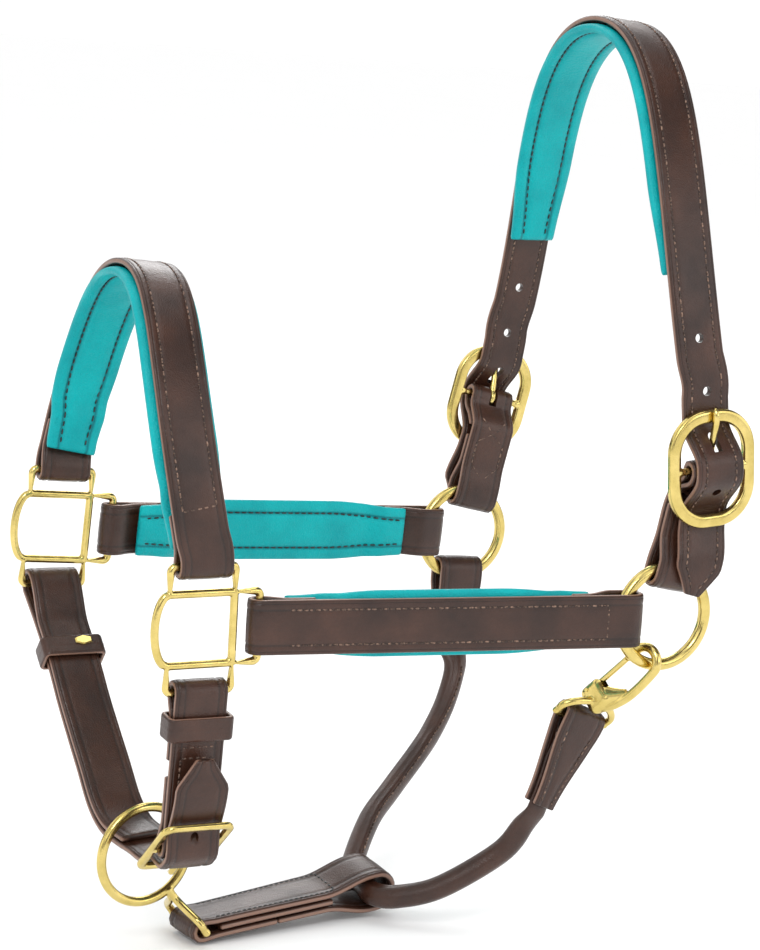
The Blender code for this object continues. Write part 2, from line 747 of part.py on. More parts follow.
def keepers():
    doubled = LEATHER + LAYER
    chape = chin_chape_run()
    down = (chape[-1] - chape[0]).normalized()
    at = chape[0] + down * 15.5 + Y * (LAYER / 2 + 0.3)
    tall = doubled + 2.2 + KEEPER_LEATHER
    keeper("chin_sliding_keeper", at, down, X, KEEPER_WIDE, tall, KEEPER_LEATHER, KEEPER_LONG)
    run = chin_run()
    travelled = distances(run)
    place = 40
    here, there = cut_out(run, travelled, place, place + 4)[0::2][:2]
    along = (there - here).normalized()
    across = square_to(X, along)
    inward = along.cross(across)
    inward = inward if inward.z > 0 else -inward
    middle = here + inward * (LAYER / 2 + 0.25)
    tall = doubled + 2.0 + KEEPER_LEATHER
    keeper("chin_fixed_keeper", middle, along, across, KEEPER_WIDE, tall, KEEPER_LEATHER, KEEPER_LONG)
    face = middle + inward * (tall / 2 + KEEPER_LEATHER / 2 + 0.3 + 0.5) + across * 5
    bm = bmesh.new()
    bmesh.ops.create_cone(bm, cap_ends=True, segments=6, radius1=2.6 * MM, radius2=2.2 * MM, depth=1.0 * MM)
    bmesh.ops.transform(bm, matrix=basis(face, across, inward.cross(across), inward) @
                        Matrix.Diagonal((1.85, 1, 1, 1)), verts=bm.verts)
    from_bmesh("keeper_staple", bm, BRASS)


# ---- chin ring and connector -------------------------------------------------------------------------
CHIN_TURN = math.radians(8)
RING_ACROSS = Vector((-math.sin(CHIN_TURN), math.cos(CHIN_TURN), 0))
CHIN_RING_AT = Vector((-227.5, -28, -121.8))
CHIN_RING_RADIUS = 22.9
CHIN_RING_WIRE = 2.3
YOKE_REACH = 47.0
YOKE_ANGLE = math.radians(-54)
YOKE_BAR = 1.9
LOOP_AT = Vector((-103.9, -12, -151.8))   # where the rolled throat passes the connector
LOOP_TILT = math.radians(8)
LOOP_ACROSS = Vector((0, math.cos(LOOP_TILT), math.sin(LOOP_TILT)))
ROLL = 5.6                # radius of the rolled leather
CONNECTOR_WIDE = 24.0


def yoke_bar():
    reach = Vector((math.cos(YOKE_ANGLE), 0, math.sin(YOKE_ANGLE)))
    return CHIN_RING_AT + square_to(reach, RING_ACROSS) * YOKE_REACH


def chin_ring():
    ring = torus("chin_ring", CHIN_RING_AT, RING_ACROSS, CHIN_RING_RADIUS, CHIN_RING_WIRE, BRASS,
                 turns=38)
    out = (yoke_bar() - CHIN_RING_AT).normalized()
    half = CONNECTOR_WIDE / 2 + 3
    line = []
    for side in (-1, 1):
        arm = [(CHIN_RING_RADIUS - 0.6, 1.2), (CHIN_RING_RADIUS + 7, 3.0),
               (YOKE_REACH - 8, half - 0.6), (YOKE_REACH - 3, half), (YOKE_REACH, half - 1.6)]
        points = [CHIN_RING_AT + out * reach + RING_ACROSS * side * a for reach, a in arm]
        line += points if side < 0 else points[::-1]
    boolean(ring, tube("chin_ring_yoke", line, YOKE_BAR, None, closed=True, group=cutters), "UNION")
    return pivot(ring, CHIN_RING_AT)


def connector():
    start = yoke_bar()
    along = (LOOP_AT - start).normalized()
    reach = (LOOP_AT - start).length + 1.5
    around_bar = YOKE_BAR + 0.7 + LEATHER / 2
    around_roll = ROLL + 1.9 + LEATHER / 2
    depth_keys = [(0, around_bar), (9, LAYER), (reach - 30, LAYER), (reach - 3, around_roll)]
    butt = reach * 0.42

    def across(s):
        return square_to(mix(RING_ACROSS, LOOP_ACROSS, smooth(s / reach)), along)

    def level(first, last, sign):
        """The strap above or below the middle, with its width direction at each point."""
        count = round(abs(last - first) / 4.5)
        return [(start + along * s + along.cross(across(s)) * sign * keyed(depth_keys, s), across(s))
                for s in (mix(first, last, i / count) for i in range(count + 1))]

    def turn(s, radius, first, last, turns):
        up = along.cross(across(s))
        return [(start + along * (s + radius * math.cos(a)) + up * radius * math.sin(a), across(s))
                for a in (mix(first, last, i / turns) for i in range(1, turns))]

    path = level(butt - 0.5, 0, -1)
    path += turn(0, around_bar, -math.pi / 2, -math.pi * 1.5, 9)
    path += level(0, reach, 1)
    path += turn(reach, around_roll, math.pi / 2, -math.pi / 2, 12)
    path += level(reach, butt + 0.5, -1)
    points, widths = (list(values) for values in zip(*path))
    pivot(ribbon("connector_strap", points, widths, CONNECTOR_WIDE, LEATHER, BROWN), start)
    places = (10, 20, 40, 60, reach - 26)
    middle = [start + along * s for s in places]
    filler = ribbon("connector_filler", middle, [across(s) for s in places], CONNECTOR_WIDE, LEATHER, BROWN)
    pivot(filler, start)


# ---- rolled throat ------------------------------------------------------------------------------------
SNAP_AXIS = Vector((0.327, -0.602, 0.728)).normalized()
SNAP_SIDE = square_to(Vector((-0.183, 0.716, 0.673)), SNAP_AXIS)
SNAP_ACROSS = SNAP_AXIS.cross(SNAP_SIDE)
EYE_ACROSS = square_to(Vector((0.940, 0.125, -0.319)), SNAP_AXIS)
SNAP_LONG = 47.0          # from the ring's wire to the eye's bar
RING_FOOT = math.radians(-110)


def ring_foot():
    """Where the snap hangs on the near ring's wire."""
    return ring_centre("near") + Vector((math.cos(RING_FOOT), 0, math.sin(RING_FOOT))) * RING_RADIUS


def eye_bar():
    return ring_foot() - SNAP_AXIS * SNAP_LONG


THROAT_TAB = {"far": 34.0, "snap": 46.0}
TAB_NARROW = {"far": 20.0, "snap": 13.0}
TAB_LAYERS = 6.8          # between the middles of the tab's two layers, with the roll's end inside


def tab_width(end, place):
    return mix(STRAP, TAB_NARROW[end], smooth(place / THROAT_TAB[end]))


def tab(name, end, bar, along, across, fold, stretch, clear):
    """A strap folded round a bar or ring.  Both layers go down to the rolled part and narrow."""
    normal = along.cross(across)
    places = [clear + (THROAT_TAB[end] - clear) * i / 8 for i in range(9)]
    apart = [mix(fold, TAB_LAYERS / 2, smooth((s - clear) / 13)) for s in places]
    front = [bar + along * s + normal * a for s, a in zip(places, apart)]
    back = [bar + along * s - normal * a for s, a in zip(places, apart)]
    turn = [bar - along * (stretch + fold * math.sin(a)) + normal * fold * math.cos(a)
            for a in (math.pi * i / 8 for i in range(9))]
    widths = [tab_width(end, s) for s in places]
    wide = widths[::-1] + [STRAP] * len(turn) + widths
    return ribbon(name, front[::-1] + turn + back, across, wide, LEATHER - 0.2, BROWN)


def throat_axes():
    far_along = Vector((-0.05, -0.06, -1)).normalized()
    far_at = ring_centre("far") + square_to(far_along, Y) * RING_RADIUS
    snap_along = Vector((-0.396, 0.030, -0.915)).normalized()
    return {"far": (far_at, far_along, square_to(X, far_along)),
            "snap": (eye_bar(), snap_along, square_to(EYE_ACROSS, snap_along))}


def throat():
    axes = throat_axes()
    at, along, across = axes["far"]
    tab("throat_ring_tab", "far", at, along, across, RING_WIRE + 0.7 + LEATHER / 2, RING_SAG, 3.5)
    at, along, across = axes["snap"]
    tab("throat_snap_tab", "snap", at, along, across, 1.9 + 0.6 + LEATHER / 2, 0.8, 1.0)
    flat_start = 12
    loop = [LOOP_AT + LOOP_ACROSS * a for a in (13, 0, -13)]
    far_side = [Vector(p) for p in ((-2.3, 92, -72), (-10.7, 84, -89), (-24, 73, -102),
                                    (-37.5, 62, -110.2), (-62.2, 44, -124), (-82.6, 27, -134.4))]
    near_side = [Vector(p) for p in ((-96, -35, -152.2), (-78.3, -46, -144.9), (-53, -57, -126),
                                     (-45, -64, -110))]
    hanging = far_side + loop + near_side
    ends = {}
    for name, (at, along, across) in axes.items():
        tab_end = THROAT_TAB[name]
        ends[name] = [at + along * s for s in (flat_start, 23, tab_end, tab_end + 4)]
    knots = ends["far"] + hanging + ends["snap"][::-1]
    line = rounded(knots, 8)
    travelled = distances(line)
    total = travelled[-1]
    bm = bmesh.new()
    sides = 12
    rows = []
    runs = tangents(line)
    for place, point, along in zip(travelled, line, runs):
        share = smooth(place / total)
        across = square_to(mix(axes["far"][2], axes["snap"][2], share), along)
        up = along.cross(across)
        end = "far" if place < total / 2 else "snap"
        from_end = min(place, total - place)
        round_share = smooth((from_end - (THROAT_TAB[end] - flat_start) * 0.9) / 26)
        wide = mix(min(9.0, tab_width(end, from_end + flat_start) / 2 - 0.6), ROLL, round_share)
        tall = mix(1.55, ROLL, round_share)
        rows.append([bm.verts.new((point + across * wide * math.cos(a) + up * tall * math.sin(a)) * MM)
                     for a in (2 * math.pi * i / sides for i in range(sides))])
    for row, following in zip(rows, rows[1:]):
        for i in range(sides):
            j = (i + 1) % sides
            bm.faces.new((row[i], row[j], following[j], following[i]))
    bm.faces.new(rows[0][::-1])
    bm.faces.new(rows[-1])
    from_bmesh("throat_roll", bm, BROWN)


# ---- snap hook -------------------------------------------------------------------------------------------
HOOK_RADIUS = 7.0         # half the hook's opening, between its centre lines
HOOK_WIRE = 2.3
GATE_WIRE = 1.4
GATE_END = -7.0
PIVOT = (-33.0, HOOK_RADIUS)


def snap_place(long, side, across=0.0):
    return ring_foot() + SNAP_AXIS * long + SNAP_SIDE * side + SNAP_ACROSS * across


def snap():
    arm = [(-35, -2.0), (-29, -5.4), (-19, -7.8), (-9, -8.0)]
    bend = [(0.5 + HOOK_RADIUS * math.cos(a), HOOK_RADIUS * math.sin(a))
            for a in (math.radians(-80 + 17 * i) for i in range(11))]
    nose = [(-2.5, HOOK_RADIUS), (-6.4, HOOK_RADIUS)]
    body = tube("snap_body", [snap_place(*p) for p in arm + bend + nose], HOOK_WIRE, BRASS)
    axes = (SNAP_AXIS, SNAP_SIDE, SNAP_ACROSS)
    boss = block("snap_boss", snap_place(-31.5, 2.3), axes, Vector((15, 15.4, 8.4)), None, cutters)
    rounding = boss.modifiers.new("rounding", "BEVEL")
    rounding.width = 2.4 * MM
    rounding.segments = 2
    boolean(body, boss, "UNION")
    half = STRAP / 2 + 3.0
    one_side = [(0, half - 2), (2, half), (6, half), (10, half - 4), (13, 5)]
    eye = [(s, -a) for s, a in one_side[::-1]] + one_side
    ring = [eye_bar() + SNAP_AXIS * s + EYE_ACROSS * a for s, a in eye]
    boolean(body, tube("snap_eye", ring, 1.9, None, closed=True, group=cutters), "UNION")
    slot = block("snap_slot", snap_place(-30, 8.5), axes, Vector((15, 12, 4.2)), None, cutters)
    boolean(body, slot, "DIFFERENCE")
    hole = cylinder("snap_pin_hole", snap_place(*PIVOT, -8), snap_place(*PIVOT, 8), 1.3, None, cutters)
    boolean(body, hole, "DIFFERENCE")
    gate = cylinder("snap_gate", snap_place(*PIVOT, -1.7), snap_place(*PIVOT, 1.7), 2.5, BRASS)
    arm = tube("snap_gate_arm", [snap_place(PIVOT[0] + 1.9, PIVOT[1]), snap_place(GATE_END, PIVOT[1])],
               GATE_WIRE, None, group=cutters)
    boolean(gate, arm, "UNION")
    gate_hole = cylinder("snap_gate_hole", snap_place(*PIVOT, -8), snap_place(*PIVOT, 8), 1.3, None, cutters)
    boolean(gate, gate_hole, "DIFFERENCE")
    pivot(gate, snap_place(*PIVOT))
    cylinder("snap_gate_pin", snap_place(*PIVOT, -4.6), snap_place(*PIVOT, 4.6), 0.9, BRASS)


for side_name in SIDES:
    halter_square(side_name)
    cheek_ring(side_name)
    cheek_strap(side_name)
    cheek_padding(side_name)
    crown_chape(side_name)
    crown_buckle(side_name).frame()
    crown_buckle(side_name).tongue()
noseband()
crown()
chin()
chin_chape()
chin_buckle().frame()
chin_buckle().tongue()
keepers()
chin_ring()
connector()
throat()
snap()
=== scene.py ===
"""The looks of a leather headcollar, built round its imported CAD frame.

X runs from the nose to the poll, Y from the near side to the far side and Z up.  Shapes are worked
out in millimetres, as in the CAD, and put into meshes in metres.
"""
import json
import math

import bmesh
import bpy
from mathutils import Matrix, Vector, noise


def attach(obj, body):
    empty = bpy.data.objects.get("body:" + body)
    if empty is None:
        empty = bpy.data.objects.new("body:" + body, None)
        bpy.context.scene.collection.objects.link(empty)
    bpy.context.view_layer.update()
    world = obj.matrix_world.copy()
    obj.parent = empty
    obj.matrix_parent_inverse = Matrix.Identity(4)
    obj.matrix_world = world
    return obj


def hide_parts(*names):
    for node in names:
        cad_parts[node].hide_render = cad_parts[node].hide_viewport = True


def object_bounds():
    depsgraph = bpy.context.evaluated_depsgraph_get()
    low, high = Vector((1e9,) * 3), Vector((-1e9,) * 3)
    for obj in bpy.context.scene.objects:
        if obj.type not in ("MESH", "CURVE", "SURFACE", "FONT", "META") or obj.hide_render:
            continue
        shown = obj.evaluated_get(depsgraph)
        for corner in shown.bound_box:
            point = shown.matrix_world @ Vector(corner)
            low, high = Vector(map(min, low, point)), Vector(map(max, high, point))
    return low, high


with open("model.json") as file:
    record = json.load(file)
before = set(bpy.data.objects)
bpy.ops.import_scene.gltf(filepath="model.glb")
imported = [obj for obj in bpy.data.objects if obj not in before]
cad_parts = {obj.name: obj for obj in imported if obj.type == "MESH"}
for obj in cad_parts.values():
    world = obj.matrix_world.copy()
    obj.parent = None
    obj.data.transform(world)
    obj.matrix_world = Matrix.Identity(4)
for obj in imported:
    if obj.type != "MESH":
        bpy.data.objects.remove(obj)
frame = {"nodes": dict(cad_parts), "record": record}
CAD_BOX = [list(corner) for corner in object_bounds()]
MM = 0.001

# ---- driving sizes, as in the CAD ----
STRAP = 25.4
LEATHER = 3.2
GAP = 0.4
LAYER = LEATHER + GAP

SIDES = {"near": -1, "far": 1}
RING_Y = 100.0
RING_RADIUS = 23.5
RING_WIRE = 2.9

SQUARE_AT = {"near": Vector((-226, -74, -3)), "far": Vector((-240, 77, 13))}
SQUARE_WIDE = 31.1
SQUARE_TALL = 32.4
PRONG = 12.4
SQUARE_BULGE = 6.5
SQUARE_WIRE = 1.9

NOSE_TOP = Vector((-232, 0, 151))
POLL_TOP = Vector((9, 0, 276))
PAD_WIDE = 31.0
PAD_THICK = 5.5
LAP = 27.0

X = Vector((1, 0, 0))
Y = Vector((0, 1, 0))

STITCH_PITCH = 2.9
STITCH_IN = 4.6           # from the strap's edge to its line of stitches
ROW = STRAP / 2 - STITCH_IN
EDGE_CREASE = 1.7         # from the strap's edge to the creased line along it
SLOT_LONG = 17            # the slot in a chape that its buckle's tongue comes through
HOLE_WIDE = 4.4


# ---- materials ----
def node_tree(name):
    made = bpy.data.materials.new(name)
    made.use_nodes = True
    tree = made.node_tree
    return made, tree, tree.nodes["Principled BSDF"]


def add(tree, kind, **values):
    node = tree.nodes.new(kind)
    for key, value in values.items():
        if key in node.inputs:
            node.inputs[key].default_value = value
        else:
            setattr(node, key, value)
    return node


def spread(tree, source, low, high):
    """A 0 to 1 value mapped onto a range."""
    node = add(tree, "ShaderNodeMapRange")
    node.inputs["To Min"].default_value = low
    node.inputs["To Max"].default_value = high
    tree.links.new(source, node.inputs["Value"])
    return node.outputs["Result"]


def blended(tree, share, first, second):
    """Two colours, or colour outputs, mixed by a value."""
    node = add(tree, "ShaderNodeMix", data_type="RGBA")
    tree.links.new(share, node.inputs["Factor"])
    for socket, value in ((node.inputs[6], first), (node.inputs[7], second)):
        if isinstance(value, tuple):
            socket.default_value = (*value, 1.0)
        else:
            tree.links.new(value, socket)
    return node.outputs[2]


def noise_value(tree, place, scale, detail=3.0, rough=0.5):
    node = add(tree, "ShaderNodeTexNoise", Scale=scale, Detail=detail, Roughness=rough)
    tree.links.new(place, node.inputs["Vector"])
    return node.outputs["Fac"]


def cells(tree, place, scale, feature="F1"):
    node = add(tree, "ShaderNodeTexVoronoi", Scale=scale, feature=feature)
    tree.links.new(place, node.inputs["Vector"])
    return node.outputs["Distance"]


def bumped(tree, height, distance, strength=1.0, after=None):
    node = add(tree, "ShaderNodeBump", Distance=distance, Strength=strength)
    tree.links.new(height, node.inputs["Height"])
    if after:
        tree.links.new(after, node.inputs["Normal"])
    return node.outputs["Normal"]


def contrast(tree, source, low, high):
    """A value stretched so that low becomes 0 and high becomes 1."""
    node = add(tree, "ShaderNodeMapRange")
    node.inputs["From Min"].default_value = low
    node.inputs["From Max"].default_value = high
    tree.links.new(source, node.inputs["Value"])
    return node.outputs["Result"]


def leather(name, dark, light, cut, groove, grain, rough, relief, gloss):
    """Finished leather: mottled colour, pebbled grain, creases and a paler cut edge, with channels
    painted dark: partly the creased leather's own darker tone, partly painted shade in the recess.
    """
    made, tree, shader = node_tree(name)
    place = add(tree, "ShaderNodeTexCoord").outputs["Object"]
    mottle = contrast(tree, noise_value(tree, place, 45, 4), 0.3, 0.7)
    fleck = contrast(tree, noise_value(tree, place, 700, 4, 0.6), 0.3, 0.75)
    pebble = cells(tree, place, grain)
    body = blended(tree, mottle, dark, light)
    body = blended(tree, spread(tree, fleck, 0.0, 0.35), body, dark)
    edge = add(tree, "ShaderNodeAttribute", attribute_name="edge").outputs["Fac"]
    channel = add(tree, "ShaderNodeAttribute", attribute_name="channel").outputs["Fac"]
    # groove is the colour painted into the channels: partly the creased leather's own darker tone, partly
    # painted shade in the recess.
    colour = blended(tree, channel, blended(tree, edge, body, cut), groove)
    tree.links.new(colour, shader.inputs["Base Color"])
    tree.links.new(spread(tree, mottle, rough + 0.08, rough - 0.06), shader.inputs["Roughness"])
    normal = bumped(tree, pebble, 0.00022 * relief, 0.55)
    normal = bumped(tree, noise_value(tree, place, 210, 5, 0.65), 0.0005 * relief, 0.35, normal)
    tree.links.new(normal, shader.inputs["Normal"])
    shader.inputs["Specular IOR Level"].default_value = gloss
    shader.inputs["Coat Weight"].default_value = gloss * 0.3
    shader.inputs["Coat Roughness"].default_value = 0.24
    return made


def polished_brass():
    made, tree, shader = node_tree("brass_cast")
    place = add(tree, "ShaderNodeTexCoord").outputs["Object"]
    tarnish = contrast(tree, noise_value(tree, place, 90, 5, 0.6), 0.35, 0.75)
    scratches = noise_value(tree, place, 1500, 2)
    colour = blended(tree, tarnish, (0.77, 0.61, 0.22), (0.56, 0.43, 0.12))
    tree.links.new(colour, shader.inputs["Base Color"])
    shader.inputs["Metallic"].default_value = 1.0
    tree.links.new(spread(tree, tarnish, 0.16, 0.30), shader.inputs["Roughness"])
    normal = bumped(tree, noise_value(tree, place, 260, 3), 0.0003, 0.25)
    normal = bumped(tree, scratches, 0.00004, 0.3, normal)
    tree.links.new(normal, shader.inputs["Normal"])
    return made


def waxed_thread(name, colour, shade):
    made, tree, shader = node_tree(name)
    place = add(tree, "ShaderNodeTexCoord").outputs["Object"]
    ply = noise_value(tree, place, 520, 4, 0.65)
    strands = contrast(tree, ply, 0.45, 0.66)
    tree.links.new(blended(tree, strands, shade, colour), shader.inputs["Base Color"])
    tree.links.new(bumped(tree, ply, 0.0002, 0.5), shader.inputs["Normal"])
    tree.links.new(spread(tree, ply, 0.5, 0.75), shader.inputs["Roughness"])
    return made


# The fourth colour of each leather is painted into its channels: for the bridle leather partly its own
# darker creasing, partly painted shade; for the padding, painted shade in the sewn channels between its
# rolls.
BROWN = leather("bridle_leather", (0.021, 0.0072, 0.0038), (0.064, 0.0245, 0.014), (0.25, 0.14, 0.10),
                (0.012, 0.006, 0.004), 1500, 0.34, 1.0, 0.42)
TURQUOISE = leather("padding_leather", (0.0, 0.31, 0.335), (0.0, 0.43, 0.445), (0.004, 0.46, 0.48),
                    (0.0, 0.07, 0.09), 1100, 0.40, 2.0, 0.18)
BRASS = polished_brass()
TAN = waxed_thread("tan_thread", (0.31, 0.19, 0.135), (0.035, 0.018, 0.012))
DARK = waxed_thread("dark_thread", (0.045, 0.05, 0.05), (0.012, 0.02, 0.022))


# ---- lines ----
def smooth(value):
    """0 to 1 with level ends."""
    value = min(max(value, 0.0), 1.0)
    return value * value * (3 - 2 * value)


def mix(a, b, share):
    return a + (b - a) * share


def keyed(keys, at):
    """A value read between (place, value) keys, level at every key."""
    if at <= keys[0][0]:
        return keys[0][1]
    for (a, first), (b, second) in zip(keys, keys[1:]):
        if at <= b:
            return mix(first, second, smooth((at - a) / (b - a)))
    return keys[-1][1]


def rounded(points, step):
    """Points every step along a smooth curve through the given ones."""
    ends = [points[0] * 2 - points[1]] + list(points) + [points[-1] * 2 - points[-2]]
    curve = [points[0].copy()]
    for before, start, end, after in zip(ends, ends[1:], ends[2:], ends[3:]):
        count = max(2, round((end - start).length / step))
        for i in range(1, count + 1):
            t = i / count
            curve.append(0.5 * ((2 * start) + (end - before) * t
                                + (2 * before - 5 * start + 4 * end - after) * t * t
                                + (3 * start - before - 3 * end + after) * t ** 3))
    return curve


def tangents(points, closed=False):
    count = len(points)
    found = []
    for i in range(count):
        before = points[i - 1] if closed or i else points[i]
        after = points[(i + 1) % count] if closed or i < count - 1 else points[i]
        found.append((after - before).normalized())
    return found


def square_to(direction, along):
    return (direction - along * direction.dot(along)).normalized()


def distances(points):
    travelled = [0.0]
    for a, b in zip(points, points[1:]):
        travelled.append(travelled[-1] + (b - a).length)
    return travelled


def spaced(first, last, count):
    return [mix(first, last, i / count) for i in range(count + 1)]


def straight(start, end, step=2.0):
    return spaced(start, end, max(2, round((end - start).length / step)))


def bent(value, power):
    """A power of a value that keeps its sign.  It squares off a round section."""
    return math.copysign(abs(value) ** power, value)


def all_round(count):
    """Angles evenly round a full turn."""
    return [2 * math.pi * i / count for i in range(count)]


class Path:
    """A strap's middle line with its width direction.  Places are distances from its start."""

    def __init__(self, points, across):
        self.points = points
        self.across = across if isinstance(across, list) else [across] * len(points)
        self.places = distances(points)
        self.length = self.places[-1]
        self.runs = tangents(points)

    def at(self, place):
        """The point, its width direction and the face's normal."""
        place = min(max(place, 0.0), self.length)
        low, high = 0, len(self.places) - 1
        while high - low > 1:
            i = (low + high) // 2
            low, high = (i, high) if self.places[i] <= place else (low, i)
        share = (place - self.places[low]) / (self.places[high] - self.places[low])
        along = mix(self.runs[low], self.runs[high], share).normalized()
        side = square_to(mix(self.across[low], self.across[high], share), along)
        return mix(self.points[low], self.points[high], share), side, along.cross(side)

    def part(self, first, last, step):
        return spaced(first, last, max(2, round((last - first) / step)))


# ---- meshes ----
def finished(name, bm, made_of, sharp=50):
    bmesh.ops.recalc_face_normals(bm, faces=bm.faces)
    mesh = bpy.data.meshes.new(name)
    bm.to_mesh(mesh)
    bm.free()
    mesh.shade_smooth()
    mesh.set_sharp_from_angle(angle=math.radians(sharp))
    mesh.materials.append(made_of)
    obj = bpy.data.objects.new(name, mesh)
    bpy.context.scene.collection.objects.link(obj)
    return obj


def skin(bm, rows, closed=False, edge=None, channel=None):
    """Faces between rows of points, with both ends capped on an open run.

    edge and channel say, for each point of a row, how much it is cut edge or sewn channel.
    """
    marks = []
    for name, values in (("edge", edge), ("channel", channel)):
        marks.append((bm.verts.layers.float.get(name) or bm.verts.layers.float.new(name), values))
    made = []
    for row in rows:
        verts = [bm.verts.new(p * MM) for p in row]
        for layer, values in marks:
            for i, vert in enumerate(verts):
                vert[layer] = values[i] if values else 0.0
        made.append(verts)
    pairs = list(zip(made, made[1:])) + ([(made[-1], made[0])] if closed else [])
    for row, following in pairs:
        for i in range(len(row)):
            j = (i + 1) % len(row)
            bm.faces.new((row[i], row[j], following[j], following[i]))
    if not closed:
        bm.faces.new(made[0][::-1])
        bm.faces.new(made[-1])
    return bm


def lofted(name, rows, made_of, sharp=50, **marks):
    """A closed piece skinned over rows of points."""
    return finished(name, skin(bmesh.new(), rows, **marks), made_of, sharp)


def strap_section(half, thick, creased=True):
    """Round a strap's edge: a slight crown, a stitch channel, an edge crease and round corners."""
    t = thick / 2
    depth = 0.3 if creased else 0.0
    scale = min(1.0, (half - 0.4) / 7.2)
    quarter = [(7.2, t), (STITCH_IN + 0.8, t - 0.02), (STITCH_IN, t - depth),
               (STITCH_IN - 0.8, t - 0.02), (2.6, t), (2.0, t - 0.03), (EDGE_CREASE, t - depth * 0.8),
               (1.4, t - 0.08), (0.85, t - 0.16), (0.35, t * 0.68), (0.06, t * 0.35)]
    top = [(half - off * scale, v) for off, v in quarter]
    right = top + [(half, 0.0)] + [(u, -v) for u, v in top[::-1]]
    section = [(0.0, t + 0.08)] + right + [(0.0, -t - 0.08)] + [(-u, v) for u, v in right[::-1]]
    edge = [1.0 if abs(u) > half - 0.2 * scale else 0.0 for u, v in section]
    # channel marks the stitch channel and the edge crease, which the leather paints dark: partly the
    # creased leather's own darker tone, partly painted shade.
    lines = (STITCH_IN, EDGE_CREASE) if creased else ()
    channel = [0.7 if any(abs(half - abs(u) - off * scale) < 0.01 for off in lines) else 0.0
               for u, v in section]
    return section, edge, channel


def strap(name, path, widths, thick, made_of=BROWN, step=2.4, creased=True, holes=None):
    """A leather strap along a path.  widths is a width or a function of the place."""
    wide = widths if callable(widths) else lambda place: widths
    places = path.part(0, path.length, step)
    places = [0.0, 0.45] + places[1:-1] + [path.length - 0.45, path.length]
    rows = []
    for i, place in enumerate(places):
        point, side, normal = path.at(place)
        half = wide(place) / 2
        section, edge, channel = strap_section(half, thick, creased)
        shrink = 0.5 if i in (0, len(places) - 1) else 0.0
        in_u = 1 - shrink / half
        in_v = 1 - shrink / (thick / 2)
        rows.append([point + side * u * in_u + normal * v * in_v for u, v in section])
    made = lofted(name, rows, made_of, edge=edge, channel=channel)
    return cut(made, holes) if holes else made


def cut(obj, tools):
    """Cuts the tools out of a mesh and removes them."""
    for tool in tools:
        step = obj.modifiers.new("cut", "BOOLEAN")
        step.operation = "DIFFERENCE"
        step.solver = "EXACT"
        step.object = tool
    applied(obj)
    for tool in tools:
        bpy.data.objects.remove(tool)
    obj.data.set_sharp_from_angle(angle=math.radians(50))
    return obj


def applied(obj):
    depsgraph = bpy.context.evaluated_depsgraph_get()
    depsgraph.update()
    mesh = bpy.data.meshes.new_from_object(obj.evaluated_get(depsgraph))
    obj.modifiers.clear()
    obj.data = mesh
    return obj


def two_rows(first, last, row=ROW):
    return [(first, last, row, row), (first, last, -row, -row)]


def across_at(place, row=ROW):
    return [(place, place, -row, row)]


def stitches(name, path, lines, thick, thread=TAN, radius=0.46, length=2.4, pitch=STITCH_PITCH,
             level=-0.2):
    """Threads on both faces of a strap.  Each line is (first, last, offset at first, offset at last)."""
    bm = bmesh.new()
    stations = ((-0.5, 0.35, -0.45), (-0.36, 0.9, 0.0), (0.0, 1.0, 0.12), (0.36, 0.9, 0.0),
                (0.5, 0.35, -0.45))
    for first, last, start, end in lines:
        crosswise = abs(last - first) < 1
        span = abs(end - start) if crosswise else last - first
        count = max(1, int(span / pitch))
        for i in range(count):
            middle = (i + 0.5) / count
            for face in (1, -1):
                rows = []
                for share, size, lift in stations:
                    t = middle + share * length / span
                    point, side, normal = path.at(mix(first, last, t))
                    heart = point + side * mix(start, end, t)
                    heart += normal * face * (thick / 2 + level + lift * radius)
                    along = side if crosswise else normal.cross(side)
                    other = along.cross(normal)
                    rows.append([heart + (other * math.cos(a) + normal * math.sin(a)) * radius * size
                                 for a in all_round(7)])
                skin(bm, rows)
    return finished(name, bm, thread, 180)


def sew(name, node, path, lines, thick=LEATHER, slot="brown_leather", **look):
    """Stitches that move with the CAD node that they hold."""
    return goes_with(stitches(f"{name}_stitches", path, lines, thick, **look), node)


def wire_rows(points, radius, closed=False, sides=20, flat=1.0, square=1.0, up=None):
    """Rows of points for a wire.

    radius may be a list, flat squeezes the wire along up, and square below 1 flattens its faces.
    """
    runs = tangents(points, closed)
    radii = radius if isinstance(radius, list) else [radius] * len(points)
    side = square_to(up or (X if abs(runs[0].x) < 0.8 else Y), runs[0])
    rows = []
    for point, along, r in zip(points, runs, radii):
        side = square_to(up or side, along)
        other = along.cross(side)
        rows.append([point + side * r * flat * bent(math.cos(a), square)
                     + other * r * bent(math.sin(a), square) for a in all_round(sides)])
    return rows


def wire(name, points, radius, made_of=BRASS, closed=False, **options):
    return lofted(name, wire_rows(points, radius, closed, **options), made_of, 180, closed=closed)


def cast(name, shapes, voxel=0.4, smoothing=2, tools=None):
    """Several shapes melted into one casting with soft inside corners."""
    first = shapes[0]
    bm = bmesh.new()
    for shape in shapes:
        bm.from_mesh(shape.data)
    bm.to_mesh(first.data)
    bm.free()
    for other in shapes[1:]:
        bpy.data.objects.remove(other)
    first.name = name
    melt = first.modifiers.new("melt", "REMESH")
    melt.mode = "VOXEL"
    melt.voxel_size = voxel * MM
    soften = first.modifiers.new("soften", "SMOOTH")
    soften.iterations = smoothing
    soften.factor = 0.5
    applied(first)
    if tools:
        cut(first, tools)
    first.data.shade_smooth()
    if not first.data.materials:
        first.data.materials.append(BRASS)
    return first


def basis(origin, first, second, third):
    turn = Matrix((first, second, third)).transposed().to_4x4()
    return Matrix.Translation(origin * MM) @ turn


